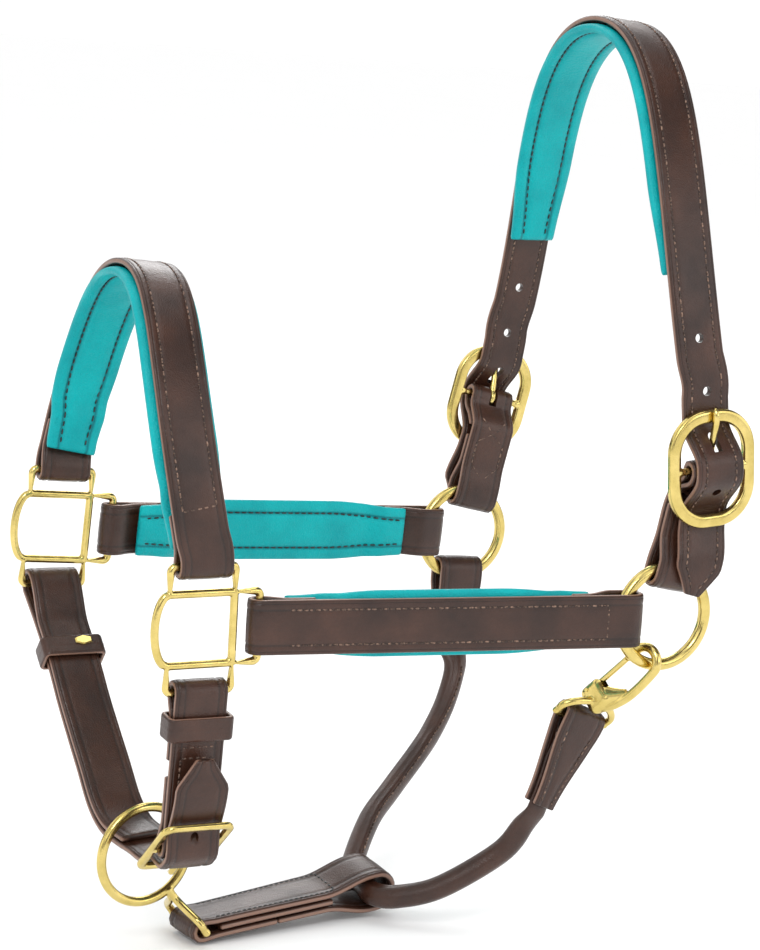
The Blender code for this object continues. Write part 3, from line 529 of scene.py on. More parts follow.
def block(name, centre, axes, size, made_of=BRASS, bevel=0.0):
    bm = bmesh.new()
    bmesh.ops.create_cube(bm, size=1)
    bmesh.ops.scale(bm, vec=size * MM, verts=bm.verts)
    if bevel:
        bmesh.ops.bevel(bm, geom=bm.edges[:], offset=bevel * MM, segments=5, profile=0.5, affect="EDGES")
    bmesh.ops.transform(bm, matrix=basis(centre, *axes), verts=bm.verts)
    return finished(name, bm, made_of, 40)


def punch(name, centre, along, across, through, length, width):
    """A cutter for a slot with round ends, or for a round hole."""
    turns = 14
    half = (length - width) / 2
    outline = []
    for end, start in ((half, -math.pi / 2), (-half, math.pi / 2)):
        for i in range(turns + 1):
            angle = start + math.pi * i / turns
            outline.append((end + width / 2 * math.cos(angle), width / 2 * math.sin(angle)))
    if half < 0.01:
        outline = [(width / 2 * math.cos(a), width / 2 * math.sin(a)) for a in all_round(24)]
    rows = [[centre + along * x + across * y + through * d for x, y in outline] for d in (-6, 6)]
    bm = bmesh.new()
    skin(bm, rows)
    bmesh.ops.remove_doubles(bm, verts=bm.verts, dist=0.000001)
    return finished(name, bm, BROWN)


BODIES = frame["record"]["behaviour"]["bodies"]


def stands_for(piece, *nodes):
    """The piece takes the place of CAD nodes and moves with their body."""
    body = next(name for name, listed in BODIES.items() if nodes[0] in listed)
    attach(piece, body)
    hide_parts(*nodes)
    return piece


def goes_with(piece, node):
    body = next(name for name, listed in BODIES.items() if node in listed)
    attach(piece, body)
    return piece


# ---- folded straps ----
def fold_back(points, inward, at_start, radius, stretch, lap, depth=LAYER, rise=13, clear=1.0):
    """The strip's way from the end of a run round a bar and back along the run."""
    if not at_start:
        points = points[::-1]
        inward = inward[::-1]
    away = (points[0] - points[1]).normalized()
    normal = square_to(inward[0], away)
    centre = points[0] + normal * radius
    way = []
    steps = 16
    for i in range(0 if stretch else 1, steps + 1):
        angle = math.pi * i / steps
        way.append(centre + away * (stretch + radius * math.sin(angle))
                   - normal * radius * math.cos(angle))
    travelled = 0.0
    for a, b, n in zip(points, points[1:], inward[1:]):
        travelled += (b - a).length
        if travelled > lap:
            break
        if travelled < clear:
            continue
        side = square_to(n, (b - a).normalized())
        share = smooth((travelled - clear) / rise)
        way.append(b + side * mix(2 * radius, depth, share))
    return way


# ---- halter squares ----
def square_axes(side):
    tip = math.atan2(-SQUARE_AT[side].z, -SQUARE_AT[side].x)
    return Vector((math.cos(tip), 0, math.sin(tip))), Vector((-math.sin(tip), 0, math.cos(tip)))


def square_bar(side, where):
    long, tall = square_axes(side)
    offset = {"top": tall * (SQUARE_TALL / 2 + PRONG),
              "bottom": -tall * (SQUARE_TALL / 2 + PRONG),
              "rear": long * (SQUARE_WIDE / 2 + PRONG)}[where]
    return SQUARE_AT[side] + offset


def halter_square(side):
    long, tall = square_axes(side)
    centre = SQUARE_AT[side]
    w, h = SQUARE_WIDE / 2, SQUARE_TALL / 2

    def at(x, z):
        return centre + long * x + tall * z

    def corner(x, z, sx, sz, radius=2.5):
        turns = 6
        return [at(x - sx * radius * (1 - math.sin(math.pi / 2 * i / turns)),
                   z - sz * radius * (1 - math.cos(math.pi / 2 * i / turns)))
                for i in range(turns + 1)]

    bulge = [at(-w - SQUARE_BULGE * math.cos(a), h * math.sin(a))
             for a in (math.radians(d) for d in range(70, -71, -7))]
    ring = corner(w, h, 1, 1) + corner(w, -h, 1, -1)[::-1] + [at(-w, -h)] + bulge[::-1] + [at(-w, h)]
    top = [at(-w, h)] + corner(-w, h + PRONG, -1, 1)[::-1] + corner(w, h + PRONG, 1, 1) + [at(w, h)]
    low = [at(-w, -h)] + corner(-w, -h - PRONG, -1, -1)[::-1]
    low += corner(w, -h - PRONG, 1, -1) + [at(w, -h)]
    rear = [at(w, h)] + corner(w + PRONG, h, 1, 1) + corner(w + PRONG, -h, 1, -1)[::-1] + [at(w, -h)]
    shapes = [wire("ring", ring, SQUARE_WIRE, closed=True, up=Y)]
    shapes += [wire("bar", line, SQUARE_WIRE, closed=True, up=Y) for line in (top, low, rear)]
    return stands_for(cast(f"{side}_square", shapes), f"{side}_halter_square")


# ---- cheek rings ----
def ring_centre(side):
    return Vector((0, SIDES[side] * RING_Y, 0))


def circle(centre, axis, radius, turns=96):
    first = square_to(X, axis)
    second = axis.cross(first)
    return [centre + (first * math.cos(a) + second * math.sin(a)) * radius for a in all_round(turns)]


def cheek_ring(side):
    line = circle(ring_centre(side), Y, RING_RADIUS)
    ring = wire(f"{side}_ring", line, RING_WIRE, closed=True, sides=24)
    return stands_for(ring, f"{side}_cheek_ring")


RING_SAG = RING_RADIUS - math.sqrt(RING_RADIUS ** 2 - (STRAP / 2) ** 2)
BAR_FOLD = SQUARE_WIRE + 0.7 + LEATHER / 2
RING_FOLD = RING_WIRE + 0.8 + LEATHER / 2


# ---- paddings ----
PAD_ROW = 6.4             # from the pad's edge to its line of stitches
PAD_PITCH = 3.9
PAD_SIDES = 56
PAD_SQUARE = 0.62         # 1 would make the pad's section an ellipse
TAPER = 45                # a pad widens from the strap's width to its own over this length


def padding(name, node, run, inwards, across, first, last, laps=True):
    """A stitched pad on the inside of a run: three rolls of filling between two sewn channels."""
    outer = Path(run, across)
    total = outer.length
    last += total
    middle = LEATHER / 2 + GAP + PAD_THICK / 2

    def inward_at(place):
        near = min(range(len(run)), key=lambda i: abs(outer.places[i] - place))
        return inwards[near]

    rows = []
    spine = []
    lines = []
    places = outer.part(first, last, 1.15)
    for place in places:
        point, side, normal = outer.at(place)
        inward = inward_at(place)
        normal = normal if normal.dot(inward) > 0 else -normal
        near_end = min(place, total - place)
        over_lap = 1 - smooth((near_end - LAP - 1) / 12) if laps else 0
        over_fold = 1 - smooth((near_end - 9) / 9) if laps else 0
        depth = middle + over_lap * LAYER + over_fold * 1.4
        from_end = min(place - first, last - place)
        half = mix(STRAP, PAD_WIDE, smooth(from_end / TAPER)) / 2
        closing = math.sqrt(max(0.0, 1 - (1 - min(from_end / 3.2, 1.0)) ** 2))
        tall = PAD_THICK / 2 * mix(0.35, 1.0, closing)
        groove = half - PAD_ROW
        pucker = 0.5 + 0.5 * math.cos(2 * math.pi * place / PAD_PITCH)
        heart = point + normal * depth
        swell = 1 + 0.05 * noise.noise(heart * 0.06)
        row = []
        for a in all_round(PAD_SIDES):
            u = half * bent(math.cos(a), PAD_SQUARE)
            v = tall * bent(math.sin(a), PAD_SQUARE)
            channel = math.exp(-((abs(u) - groove) / 1.15) ** 2)
            plump = 1 - (0.46 + 0.16 * pucker) * channel * (1 if from_end > 4 else 0.5)
            row.append(heart + side * u * mix(0.97, 1.0, closing) + normal * v * plump * swell)
        rows.append(row)
        spine.append(heart)
        lines.append(side)
    # The share of each section point in the sewn channels, which the padding's material fills with
    # painted shade.
    seam = 1 - 2 * PAD_ROW / PAD_WIDE
    seam_shade_share = [max(0.0, 1 - abs(abs(math.cos(a)) ** PAD_SQUARE - seam) * PAD_WIDE / 2 / 0.9)
               for a in all_round(PAD_SIDES)]
    pad = lofted(name, rows, TURQUOISE, 180, channel=[0.8 * share for share in seam_shade_share])
    stands_for(pad, node)
    line = Path(spine, lines)
    offset = PAD_WIDE / 2 - PAD_ROW
    end = STRAP / 2 - PAD_ROW
    reach = line.length
    sewn = []
    for sign in (-1, 1):
        sewn += [(3, TAPER, sign * end, sign * offset),
                 (TAPER, reach - TAPER, sign * offset, sign * offset),
                 (reach - TAPER, reach - 3, sign * offset, sign * end)]
    sew(name, node, line, sewn, PAD_THICK * 0.60, "turquoise_leather", thread=DARK, radius=0.42,
        length=PAD_PITCH * 0.72, pitch=PAD_PITCH, level=0.0)


# ---- cheek straps ----
def cheek_run(side):
    out = Y * SIDES[side]
    bar = square_bar(side, "rear")
    ring = ring_centre(side)
    wire_at = ring + square_to(bar - ring, Y) * RING_RADIUS
    along = (wire_at - bar).normalized()
    normal = square_to(out, along)
    return straight(bar + normal * BAR_FOLD, wire_at + normal * RING_FOLD), -normal, along


def cheek_strap(side):
    run, inward, along = cheek_run(side)
    _, tall = square_axes(side)
    inwards = [inward] * len(run)
    first = fold_back(run, inwards, True, BAR_FOLD, 0, LAP)
    last = fold_back(run, inwards, False, RING_FOLD, RING_SAG, LAP, rise=15, clear=3.5)
    path = Path(first[::-1] + run + last, square_to(tall, along))
    name = f"{side}_cheek"
    node = f"{side}_cheek_strap"
    stands_for(strap(name, path, STRAP, LEATHER), node)
    front = Path(run, square_to(tall, along))
    end = front.length - 9
    sewn = two_rows(13, end) + across_at(end)
    sew(name, node, front, sewn)
    padding(f"{side}_cheek_pad", f"{side}_cheek_padding", run, inwards, square_to(tall, along), 13, -16)


# ---- arches: noseband and crown ----
def arch(feet, top, lean, count=24):
    """Points over the head, on two quarter ellipses, with the strap's width direction."""
    points = []
    widths = []
    for i in range(-count, count + 1):
        if i == 0:
            continue
        side = "near" if i < 0 else "far"
        foot = feet[side]
        bow, slope = lean[side]
        share = (abs(i) - 0.5) / (count - 0.5)
        angle = share * math.pi / 2
        height = math.cos(angle)
        y = foot.y * math.sin(angle)
        x = mix(foot.x, top.x, smooth(height)) + bow * 4 * height * (1 - height) * smooth(height / 0.12)
        points.append(Vector((x, y, mix(foot.z, top.z, height))))
        tip = mix(lean["top"], slope, share)
        widths.append(Vector((math.cos(tip), 0, math.sin(tip))))
    return points, widths


def nose_run():
    feet = {s: square_bar(s, "top") + Y * SIDES[s] * BAR_FOLD for s in SIDES}
    tips = {s: math.atan2(square_axes(s)[0].z, square_axes(s)[0].x) for s in SIDES}
    lean = {"near": (-7, tips["near"]), "far": (3.5, tips["far"]), "top": -0.08}
    points, across = arch(feet, NOSE_TOP, lean, count=70)
    inwards = [Vector((0, -p.y / 80, -max(0.0, (p.z - 30)) / 90)) for p in points]
    return points, across, inwards


def noseband():
    run, across, inwards = nose_run()
    first = fold_back(run, inwards, True, BAR_FOLD, 0, LAP)
    last = fold_back(run, inwards, False, BAR_FOLD, 0, LAP)
    lines = [across[0]] * len(first) + across + [across[-1]] * len(last)
    path = Path(first[::-1] + run + last, lines)
    stands_for(strap("noseband", path, STRAP, LEATHER), "noseband_strap")
    front = Path(run, across)
    end = front.length - LAP
    sewn = two_rows(LAP, end) + across_at(LAP) + across_at(end)
    sew("noseband", "noseband_strap", front, sewn)
    padding("noseband_pad", "noseband_padding", run, inwards, across, 11, -11)


# ---- buckles ----
FRAME_FLAT = 0.72         # a buckle frame's thickness against its width
TONGUE_WIRE = 1.6


class Buckle:
    """A centre-bar buckle.  s runs from the bar towards the tongue's tip, d out of the leather."""

    def __init__(self, name, bar_at, along, out, half_long, half_wide, wire, bar, corner):
        self.name = name
        self.at = bar_at
        self.along = along
        self.out = square_to(out, along)
        self.across = self.along.cross(self.out)
        self.half_long = half_long
        self.half_wide = half_wide
        self.wire = wire
        self.bar = bar
        self.corner = corner
        self.fold = bar + GAP + LEATHER / 2
        self.over = self.fold + LAYER + 0.3
        self.behind = -(wire * FRAME_FLAT + GAP + LEATHER / 2)
        self.slope = half_long - 3.5

    def place(self, s, d, a=0.0):
        return self.at + self.along * s + self.out * d + self.across * a

    def hole(self, name, s, d, length, width):
        """A cutter for a hole in the leather that passes the buckle."""
        return punch(name, self.place(s, d), self.along, self.across, self.out, length, width)

    def strap_depth(self, s):
        level = 2.5
        share = min(max(abs(s) - level, 0) / (self.slope - level), 1)
        return mix(self.over, self.behind, (1 - math.cos(math.pi * share)) / 2)

    def frame(self):
        turns = 18
        line = []
        for s_side, a_side, start in ((1, 1, 0), (1, -1, 90), (-1, -1, 180), (-1, 1, 270)):
            for i in range(turns + 1):
                angle = math.radians(start + 90 * i / turns)
                s = s_side * (self.half_long - self.corner) + self.corner * math.sin(angle)
                a = a_side * (self.half_wide - self.corner) + self.corner * math.cos(angle)
                line.append(self.place(s, 0, a))
        points = [p for p, q in zip(line, line[1:] + line[:1]) if (p - q).length > 0.05]
        oval = wire("oval", points, self.wire, closed=True, flat=FRAME_FLAT, square=0.62, up=self.out,
                    sides=36)
        ends = [self.place(0, 0, sign * self.half_wide) for sign in (-1, 1)]
        bar = wire("bar", straight(*ends), self.bar)
        shapes = [oval, bar]
        for sign in (-1, 1):
            inner = self.half_wide - self.wire
            boss = [self.place(0, 0, sign * a) for a in (inner - 1.6, inner - 0.4, inner + 1.2)]
            shapes.append(wire("boss", boss, [self.bar + 0.1, self.bar + 0.5, self.bar + 0.6]))
        made = cast(f"{self.name}_buckle_frame", shapes)
        return stands_for(made, f"{self.name}_buckle")

    def tongue(self):
        loop = self.bar + 0.35 + TONGUE_WIRE
        line = [self.place(loop * math.cos(a), loop * math.sin(a))
                for a in (math.radians(50 + 28 * i) for i in range(11))]
        top = self.wire * FRAME_FLAT + 0.35 + TONGUE_WIRE
        reach = self.half_long
        for s, d in ((5.6, -1.2), (8.5, -0.4), (12, 0.6), (reach * 0.66, 1.9), (reach - 3.6, top - 0.5),
                     (reach, top), (reach + 2.6, top - 0.3), (reach + 4.2, top - 1.4)):
            line.append(self.place(s, d))
        line = rounded(line, 1.0)
        count = len(line)
        radii = [TONGUE_WIRE * min(1.0, 0.45 + 0.55 * min(i, count - 1 - i) / 4) for i in range(count)]
        made = wire(f"{self.name}_tongue", line, radii, sides=16, up=self.across)
        return stands_for(made, f"{self.name}_buckle_tongue")


CHAPE_LEAN = {"near": math.radians(10.4), "far": math.radians(12.5)}
BUCKLE_LEAN = {"near": math.radians(-6), "far": math.radians(12.5)}
STRAP_TURN = {"near": (math.tan(math.radians(2)), math.tan(math.radians(6.6))),
              "far": (math.tan(math.radians(5)), math.tan(math.radians(2)))}
TAIL_BOW = {"near": 5.0, "far": 0.0}
BUCKLE_RADIUS = 74.0
BUCKLE_OUT = 9.6
HOLE_PITCH = 25.4
TONGUE_HOLE = 12.0
HOLE_ALONG = 14.5
TIP_REACH = 60.0


def leaning(angle):
    return Vector((math.sin(angle), 0, math.cos(angle)))


def crown_buckle(side):
    bar = ring_centre(side) + leaning(CHAPE_LEAN[side]) * BUCKLE_RADIUS + Y * SIDES[side] * BUCKLE_OUT
    return Buckle(f"{side}_crown", bar, leaning(BUCKLE_LEAN[side]), Y * SIDES[side],
                  25.0, 20.4, 3.1, 1.7, 17.0)


def crown_chape(side):
    buckle = crown_buckle(side)
    out = Y * SIDES[side]
    up = leaning(CHAPE_LEAN[side])
    reach = BUCKLE_RADIUS - RING_RADIUS
    fold = RING_WIRE + 0.6 + LEATHER / 2
    level = -12.6
    keys = [(2.5, -buckle.fold), (16, level), (reach - 16, level), (reach, -BUCKLE_OUT - fold)]
    count = 40
    run = []
    for s in (reach * i / count for i in range(count + 1)):
        down = mix(buckle.along, up, smooth(s / 24))
        run.append(buckle.at - down * s + out * keyed(keys, s))
    front = [out] * len(run)
    top = fold_back(run, front, True, buckle.fold, 0, 18, rise=8)
    foot = fold_back(run, front, False, fold, RING_SAG, reach - 21, rise=13, clear=3.5)
    points = top[::-1] + run + foot
    lines = [out.cross(d) for d in tangents(run)]
    widths = [lines[min(range(len(run)), key=lambda i: (run[i] - p).length)] for p in points]
    slot = buckle.hole("slot", 2, 0, SLOT_LONG, HOLE_WIDE)
    made = strap(f"{side}_chape", Path(points, widths), STRAP, LEATHER, holes=[slot])
    stands_for(made, f"{side}_crown_chape")
    back = Path(run, lines)
    end = back.length
    if side == "near":
        sewn = two_rows(15, end - 8) + across_at(15) + across_at(end - 8)
    else:
        sewn = [(14, 21, -ROW, -1), (14, 21, ROW, 1), (21, 27, -1, ROW), (21, 27, 1, -ROW)]
        sewn += two_rows(27, end - 14)
        sewn += [(end - 14, end - 7, ROW, 1), (end - 14, end - 7, -ROW, -1)]
    sew(f"{side}_chape", f"{side}_crown_chape", back, sewn)


def strap_through(side, s):
    buckle = crown_buckle(side)
    above, below = STRAP_TURN[side]
    drift = -(math.hypot(s, 8) - 8) * (above if s > 0 else below)
    drift -= TAIL_BOW[side] * (max(0.0, -s - 22) / (TIP_REACH - 22)) ** 2
    tip_keys = [(-TIP_REACH, -0.2), (-45, -0.2), (-27, buckle.behind), (-buckle.slope, buckle.behind)]
    depth = buckle.strap_depth(s) if s > -buckle.slope else keyed(tip_keys, s)
    return buckle.place(s, depth) + square_to(X, buckle.along) * drift


def crown_run():
    top_place = 33
    count = 60
    places = [mix(-TIP_REACH, top_place, i / count) for i in range(count)]
    near = [strap_through("near", s) for s in places]
    far = [strap_through("far", s) for s in reversed(places)]
    feet = {s: strap_through(s, top_place) for s in SIDES}
    lean = {"near": (-11, 0.1), "far": (9.5, -0.12), "top": -0.078}
    points, across = arch(feet, POLL_TOP, lean, count=100)
    level = {s: square_to(X, crown_buckle(s).along) for s in SIDES}
    lines = [level["near"]] * len(near) + across + [level["far"]] * len(far)
    return near + points + far, lines


def pointed(place, total, both=True):
    """A strap's width where it runs out to a point."""
    near_tip = min(place, total - place) if both else total - place
    return min(STRAP, 8.0 + (STRAP - 8.0) * near_tip / 13)


def crown():
    run, across = crown_run()
    inwards = [Vector((0, -p.y / 104, -max(0.0, p.z - 100) / 180)) for p in run]
    path = Path(run, across)
    holes = []
    for side in SIDES:
        buckle = crown_buckle(side)
        name = f"{side}_hole"
        holes.append(buckle.hole(name, TONGUE_HOLE, 0.5, 10.5, HOLE_WIDE))
        bar = min(range(len(run)), key=lambda i: (run[i] - buckle.place(0, 7)).length)
        away = 1 if side == "near" else -1
        for index in (-1, 1, 2):
            place = path.places[bar] + away * (HOLE_ALONG + index * HOLE_PITCH)
            point, line, normal = path.at(place)
            holes.append(punch(name, point, normal.cross(line), line, normal, 4.5, 4.5))
    made = strap("crown", path, lambda s: pointed(s, path.length), LEATHER, holes=holes)
    stands_for(made, "crown_strap")
    end = path.length
    sewn = [(3, 14, 1.6, ROW), (3, 14, -1.6, -ROW)]
    sewn += two_rows(14, end - 14)
    sewn += [(end - 14, end - 3, ROW, 1.6), (end - 14, end - 3, -ROW, -1.6)]
    sew("crown", "crown_strap", path, sewn)
    tip = TIP_REACH + 102
    padding("crown_pad", "crown_padding", run, inwards, across, tip, -tip + 4, laps=False)


# ---- chin strap ----
CHIN_BUCKLE_SLOPE = math.radians(41.5)
CHIN_LOOP = 6.0


def chin_x(y):
    return mix(square_bar("near", "bottom").x, square_bar("far", "bottom").x, smooth((y + 45) / 90))


def chin_point(y, z):
    return Vector((chin_x(y), y, z))


def chin_buckle():
    along = Vector((0, math.cos(CHIN_BUCKLE_SLOPE), -math.sin(CHIN_BUCKLE_SLOPE)))
    out = Vector((0, -math.sin(CHIN_BUCKLE_SLOPE), -math.cos(CHIN_BUCKLE_SLOPE)))
    return Buckle("chin", chin_point(-70, -104.5), along, out, 20.0, 15.6, 2.0, 1.6, 4.0)


def chin_run():
    buckle = chin_buckle()
    outward = Vector((0, 0.63, -0.77)).normalized()
    start = square_bar("far", "bottom") + outward * CHIN_LOOP
    hanging = [chin_point(y, z) for y, z in ((64, -31), (50, -41), (38, -51.5), (29, -63), (19, -76.5),
                                             (10, -89.5), (0, -105), (-10, -113.5), (-22, -116.3),
                                             (-34, -117))]
    entry = [buckle.place(24, buckle.behind - 1.0), buckle.place(buckle.slope, buckle.behind - 0.2)]
    lower = rounded([start] + hanging + entry, 2.5)
    through = [buckle.place(s, buckle.strap_depth(s))
               for s in (buckle.slope - 1.1 * i for i in range(1, 29))]
    tip = rounded([buckle.place(-buckle.slope, buckle.behind), chin_point(-84.6, -78),
                   chin_point(-86.6, -59.5)], 2.5)
    return lower + through + tip


def chin():
    run = chin_run()
    buckle = chin_buckle()
    inwards = [(Vector((0, -40, -20)) - Vector((0, p.y, p.z))).normalized() for p in run]
    fold = fold_back(run, inwards, True, CHIN_LOOP, 0, 152, rise=26)
    path = Path(fold[::-1] + run, X)
    holes = [buckle.hole("hole", TONGUE_HOLE - 1.5, 1.2, 9.5, HOLE_WIDE),
             buckle.hole("spare", -12.0, 1.2, 4.0, 3.9)]
    made = strap("chin", path, lambda s: pointed(s, path.length, both=False), LEATHER, holes=holes)
    stands_for(made, "chin_strap")


def chin_chape_run():
    buckle = chin_buckle()
    return straight(square_bar("near", "bottom") - Y * BAR_FOLD, buckle.at - Y * buckle.fold)


def chin_chape():
    buckle = chin_buckle()
    run = chin_chape_run()
    inward = [Y] * len(run)
    half = (run[-1] - run[0]).length / 2
    top = fold_back(run, inward, True, BAR_FOLD, 0, half - 3)
    foot = fold_back(run, inward, False, buckle.fold, 0, half - 1)
    slot = buckle.hole("slot", 2, 0, SLOT_LONG, HOLE_WIDE)
    made = strap("chape", Path(top[::-1] + run + foot, X), STRAP, LEATHER, holes=[slot])
    stands_for(made, "chin_chape")
    front = Path(run, X)
    sewn = across_at(24.5) + across_at(29.5) + two_rows(30, front.length - 12)
    sew("chape", "chin_chape", front, sewn)


KEEPER_LEATHER = 2.4
KEEPER_WIDE = STRAP + 1.4 + KEEPER_LEATHER
KEEPER_LONG = 11


def keeper(name, node, centre, along, across, wide, tall):
    """A loop of leather round a doubled strap."""
    out = along.cross(across)
    corner = 2.0
    section, edge = strap_section(KEEPER_LONG / 2, KEEPER_LEATHER, creased=False)[:2]
    rows = []
    for sx, sz, start in ((1, 1, 0), (-1, 1, 90), (-1, -1, 180), (1, -1, 270)):
        for i in range(7):
            angle = math.radians(start + 15 * i)
            spoke = across * math.cos(angle) + out * math.sin(angle)
            heart = centre + across * sx * (wide / 2 - corner) + out * sz * (tall / 2 - corner)
            heart += spoke * corner
            rows.append([heart + along * u + spoke * v for u, v in section])
    return stands_for(lofted(name, rows, BROWN, closed=True, edge=edge), node)


def keepers():
    doubled = LEATHER + LAYER
    chape = chin_chape_run()
    down = (chape[-1] - chape[0]).normalized()
    at = chape[0] + down * 15.5 + Y * (LAYER / 2 + 0.3)
    tall = doubled + 2.2 + KEEPER_LEATHER
    keeper("sliding_keeper", "chin_sliding_keeper", at, down, X, KEEPER_WIDE, tall)
    run = Path(chin_run(), X)
    here, side, normal = run.at(41.5)
    along = normal.cross(side)
    inward = normal if normal.z > 0 else -normal
    middle = here + inward * (LAYER / 2 + 0.25)
    tall = doubled + 2.0 + KEEPER_LEATHER
    keeper("fixed_keeper", "chin_fixed_keeper", middle, along, side, KEEPER_WIDE, tall)


# ---- chin ring and connector ----
CHIN_TURN = math.radians(8)
RING_ACROSS = Vector((-math.sin(CHIN_TURN), math.cos(CHIN_TURN), 0))
CHIN_RING_AT = Vector((-227.5, -28, -121.8))
CHIN_RING_RADIUS = 22.9
CHIN_RING_WIRE = 2.3
YOKE_REACH = 47.0
YOKE_ANGLE = math.radians(-54)
YOKE_BAR = 1.9
LOOP_AT = Vector((-103.9, -12, -151.8))
LOOP_TILT = math.radians(8)
LOOP_ACROSS = Vector((0, math.cos(LOOP_TILT), math.sin(LOOP_TILT)))
ROLL = 5.6
CONNECTOR_WIDE = 24.0


def yoke_bar():
    reach = Vector((math.cos(YOKE_ANGLE), 0, math.sin(YOKE_ANGLE)))
    return CHIN_RING_AT + square_to(reach, RING_ACROSS) * YOKE_REACH


def chin_ring():
    ring = wire("ring", circle(CHIN_RING_AT, RING_ACROSS, CHIN_RING_RADIUS), CHIN_RING_WIRE, closed=True)
    out = (yoke_bar() - CHIN_RING_AT).normalized()
    half = CONNECTOR_WIDE / 2 + 3
    line = []
    for side in (-1, 1):
        arm = [(CHIN_RING_RADIUS - 0.6, 1.2), (CHIN_RING_RADIUS + 7, 3.0),
               (YOKE_REACH - 8, half - 0.6), (YOKE_REACH - 3, half), (YOKE_REACH, half - 1.6)]
        points = [CHIN_RING_AT + out * reach + RING_ACROSS * side * a for reach, a in arm]
        line += points if side < 0 else points[::-1]
    yoke = wire("yoke", rounded(line, 1.5), YOKE_BAR)
    stands_for(cast("chin_ring_casting", [ring, yoke]), "chin_ring")


def connector():
    start = yoke_bar()
    along = (LOOP_AT - start).normalized()
    reach = (LOOP_AT - start).length + 1.5
    around_bar = YOKE_BAR + 0.7 + LEATHER / 2
    around_roll = ROLL + 1.9 + LEATHER / 2
    depth_keys = [(0, around_bar), (9, LAYER), (reach - 30, LAYER), (reach - 3, around_roll)]
    butt = reach * 0.42

    def across(s):
        return square_to(mix(RING_ACROSS, LOOP_ACROSS, smooth(s / reach)), along)

    def level(first, last, sign):
        count = round(abs(last - first) / 2)
        return [(start + along * s + along.cross(across(s)) * sign * keyed(depth_keys, s), across(s))
                for s in spaced(first, last, count)]

    def turn(s, radius, first, last, turns):
        up = along.cross(across(s))
        return [(start + along * (s + radius * math.cos(a)) + up * radius * math.sin(a), across(s))
                for a in (mix(first, last, i / turns) for i in range(1, turns))]

    top = level(0, reach, 1)
    path = level(butt - 0.5, 0, -1)
    path += turn(0, around_bar, -math.pi / 2, -math.pi * 1.5, 16)
    path += top
    path += turn(reach, around_roll, math.pi / 2, -math.pi / 2, 24)
    path += level(reach, butt + 0.5, -1)
    points, widths = (list(values) for values in zip(*path))
    made = strap("connector_leather", Path(points, widths), CONNECTOR_WIDE, LEATHER)
    stands_for(made, "connector_strap")
    places = spaced(10, reach - 26, 24)
    filler = Path([start + along * s for s in places], [across(s) for s in places])
    core = strap("connector_core", filler, CONNECTOR_WIDE, LEATHER, creased=False)
    stands_for(core, "connector_filler")
    points, widths = (list(values) for values in zip(*top))
    face = Path(points, widths)
    row = CONNECTOR_WIDE / 2 - 2.6
    sewn = two_rows(8, reach - 24, row) + across_at(reach - 24, row)
    sew("connector", "connector_strap", face, sewn, thread=DARK)


# ---- rolled throat ----
SNAP_AXIS = Vector((0.327, -0.602, 0.728)).normalized()
SNAP_SIDE = square_to(Vector((-0.183, 0.716, 0.673)), SNAP_AXIS)
SNAP_ACROSS = SNAP_AXIS.cross(SNAP_SIDE)
EYE_ACROSS = square_to(Vector((0.940, 0.125, -0.319)), SNAP_AXIS)
SNAP_LONG = 47.0
EYE_WIRE = 1.9
RING_FOOT = math.radians(-110)
THROAT_TAB = {"far": 34.0, "snap": 46.0}
TAB_NARROW = {"far": 20.0, "snap": 13.0}
TAB_LAYERS = 6.8
TAB_LEATHER = LEATHER - 0.2


def ring_foot():
    return ring_centre("near") + Vector((math.cos(RING_FOOT), 0, math.sin(RING_FOOT))) * RING_RADIUS


def eye_bar():
    return ring_foot() - SNAP_AXIS * SNAP_LONG


def tab_width(end, place):
    return mix(STRAP, TAB_NARROW[end], smooth(place / THROAT_TAB[end]))


def tab(name, node, end, bar, along, across, fold, stretch, clear):
    """A strap folded round a bar or ring, whose two layers narrow towards the rolled part."""
    normal = along.cross(across)
    places = spaced(clear, THROAT_TAB[end], 16)
    apart = [mix(fold, TAB_LAYERS / 2, smooth((s - clear) / 13)) for s in places]
    front = [bar + along * s + normal * a for s, a in zip(places, apart)]
    back = [bar + along * s - normal * a for s, a in zip(places, apart)]
    turn = [bar - along * (stretch + fold * math.sin(a)) + normal * fold * math.cos(a)
            for a in spaced(0, math.pi, 16)]
    path = Path(front[::-1] + turn + back, across)
    arm = distances(front)[-1]

    def wide(place):
        return tab_width(end, max(0.0, THROAT_TAB[end] - min(place, path.length - place)))

    stands_for(strap(name, path, wide, TAB_LEATHER), node)
    low = TAB_NARROW[end] / 2 - STITCH_IN * 0.7
    lines = []
    for sign in (-1, 1):
        lines.append((2, arm - 6, sign * low, sign * ROW))
        lines.append((path.length - arm + 6, path.length - 2, sign * ROW, sign * low))
    sew(name, node, path, lines, TAB_LEATHER)


def throat_axes():
    far_along = Vector((-0.05, -0.06, -1)).normalized()
    far_at = ring_centre("far") + square_to(far_along, Y) * RING_RADIUS
    snap_along = Vector((-0.396, 0.030, -0.915)).normalized()
    return {"far": (far_at, far_along, square_to(X, far_along)),
            "snap": (eye_bar(), snap_along, square_to(EYE_ACROSS, snap_along))}


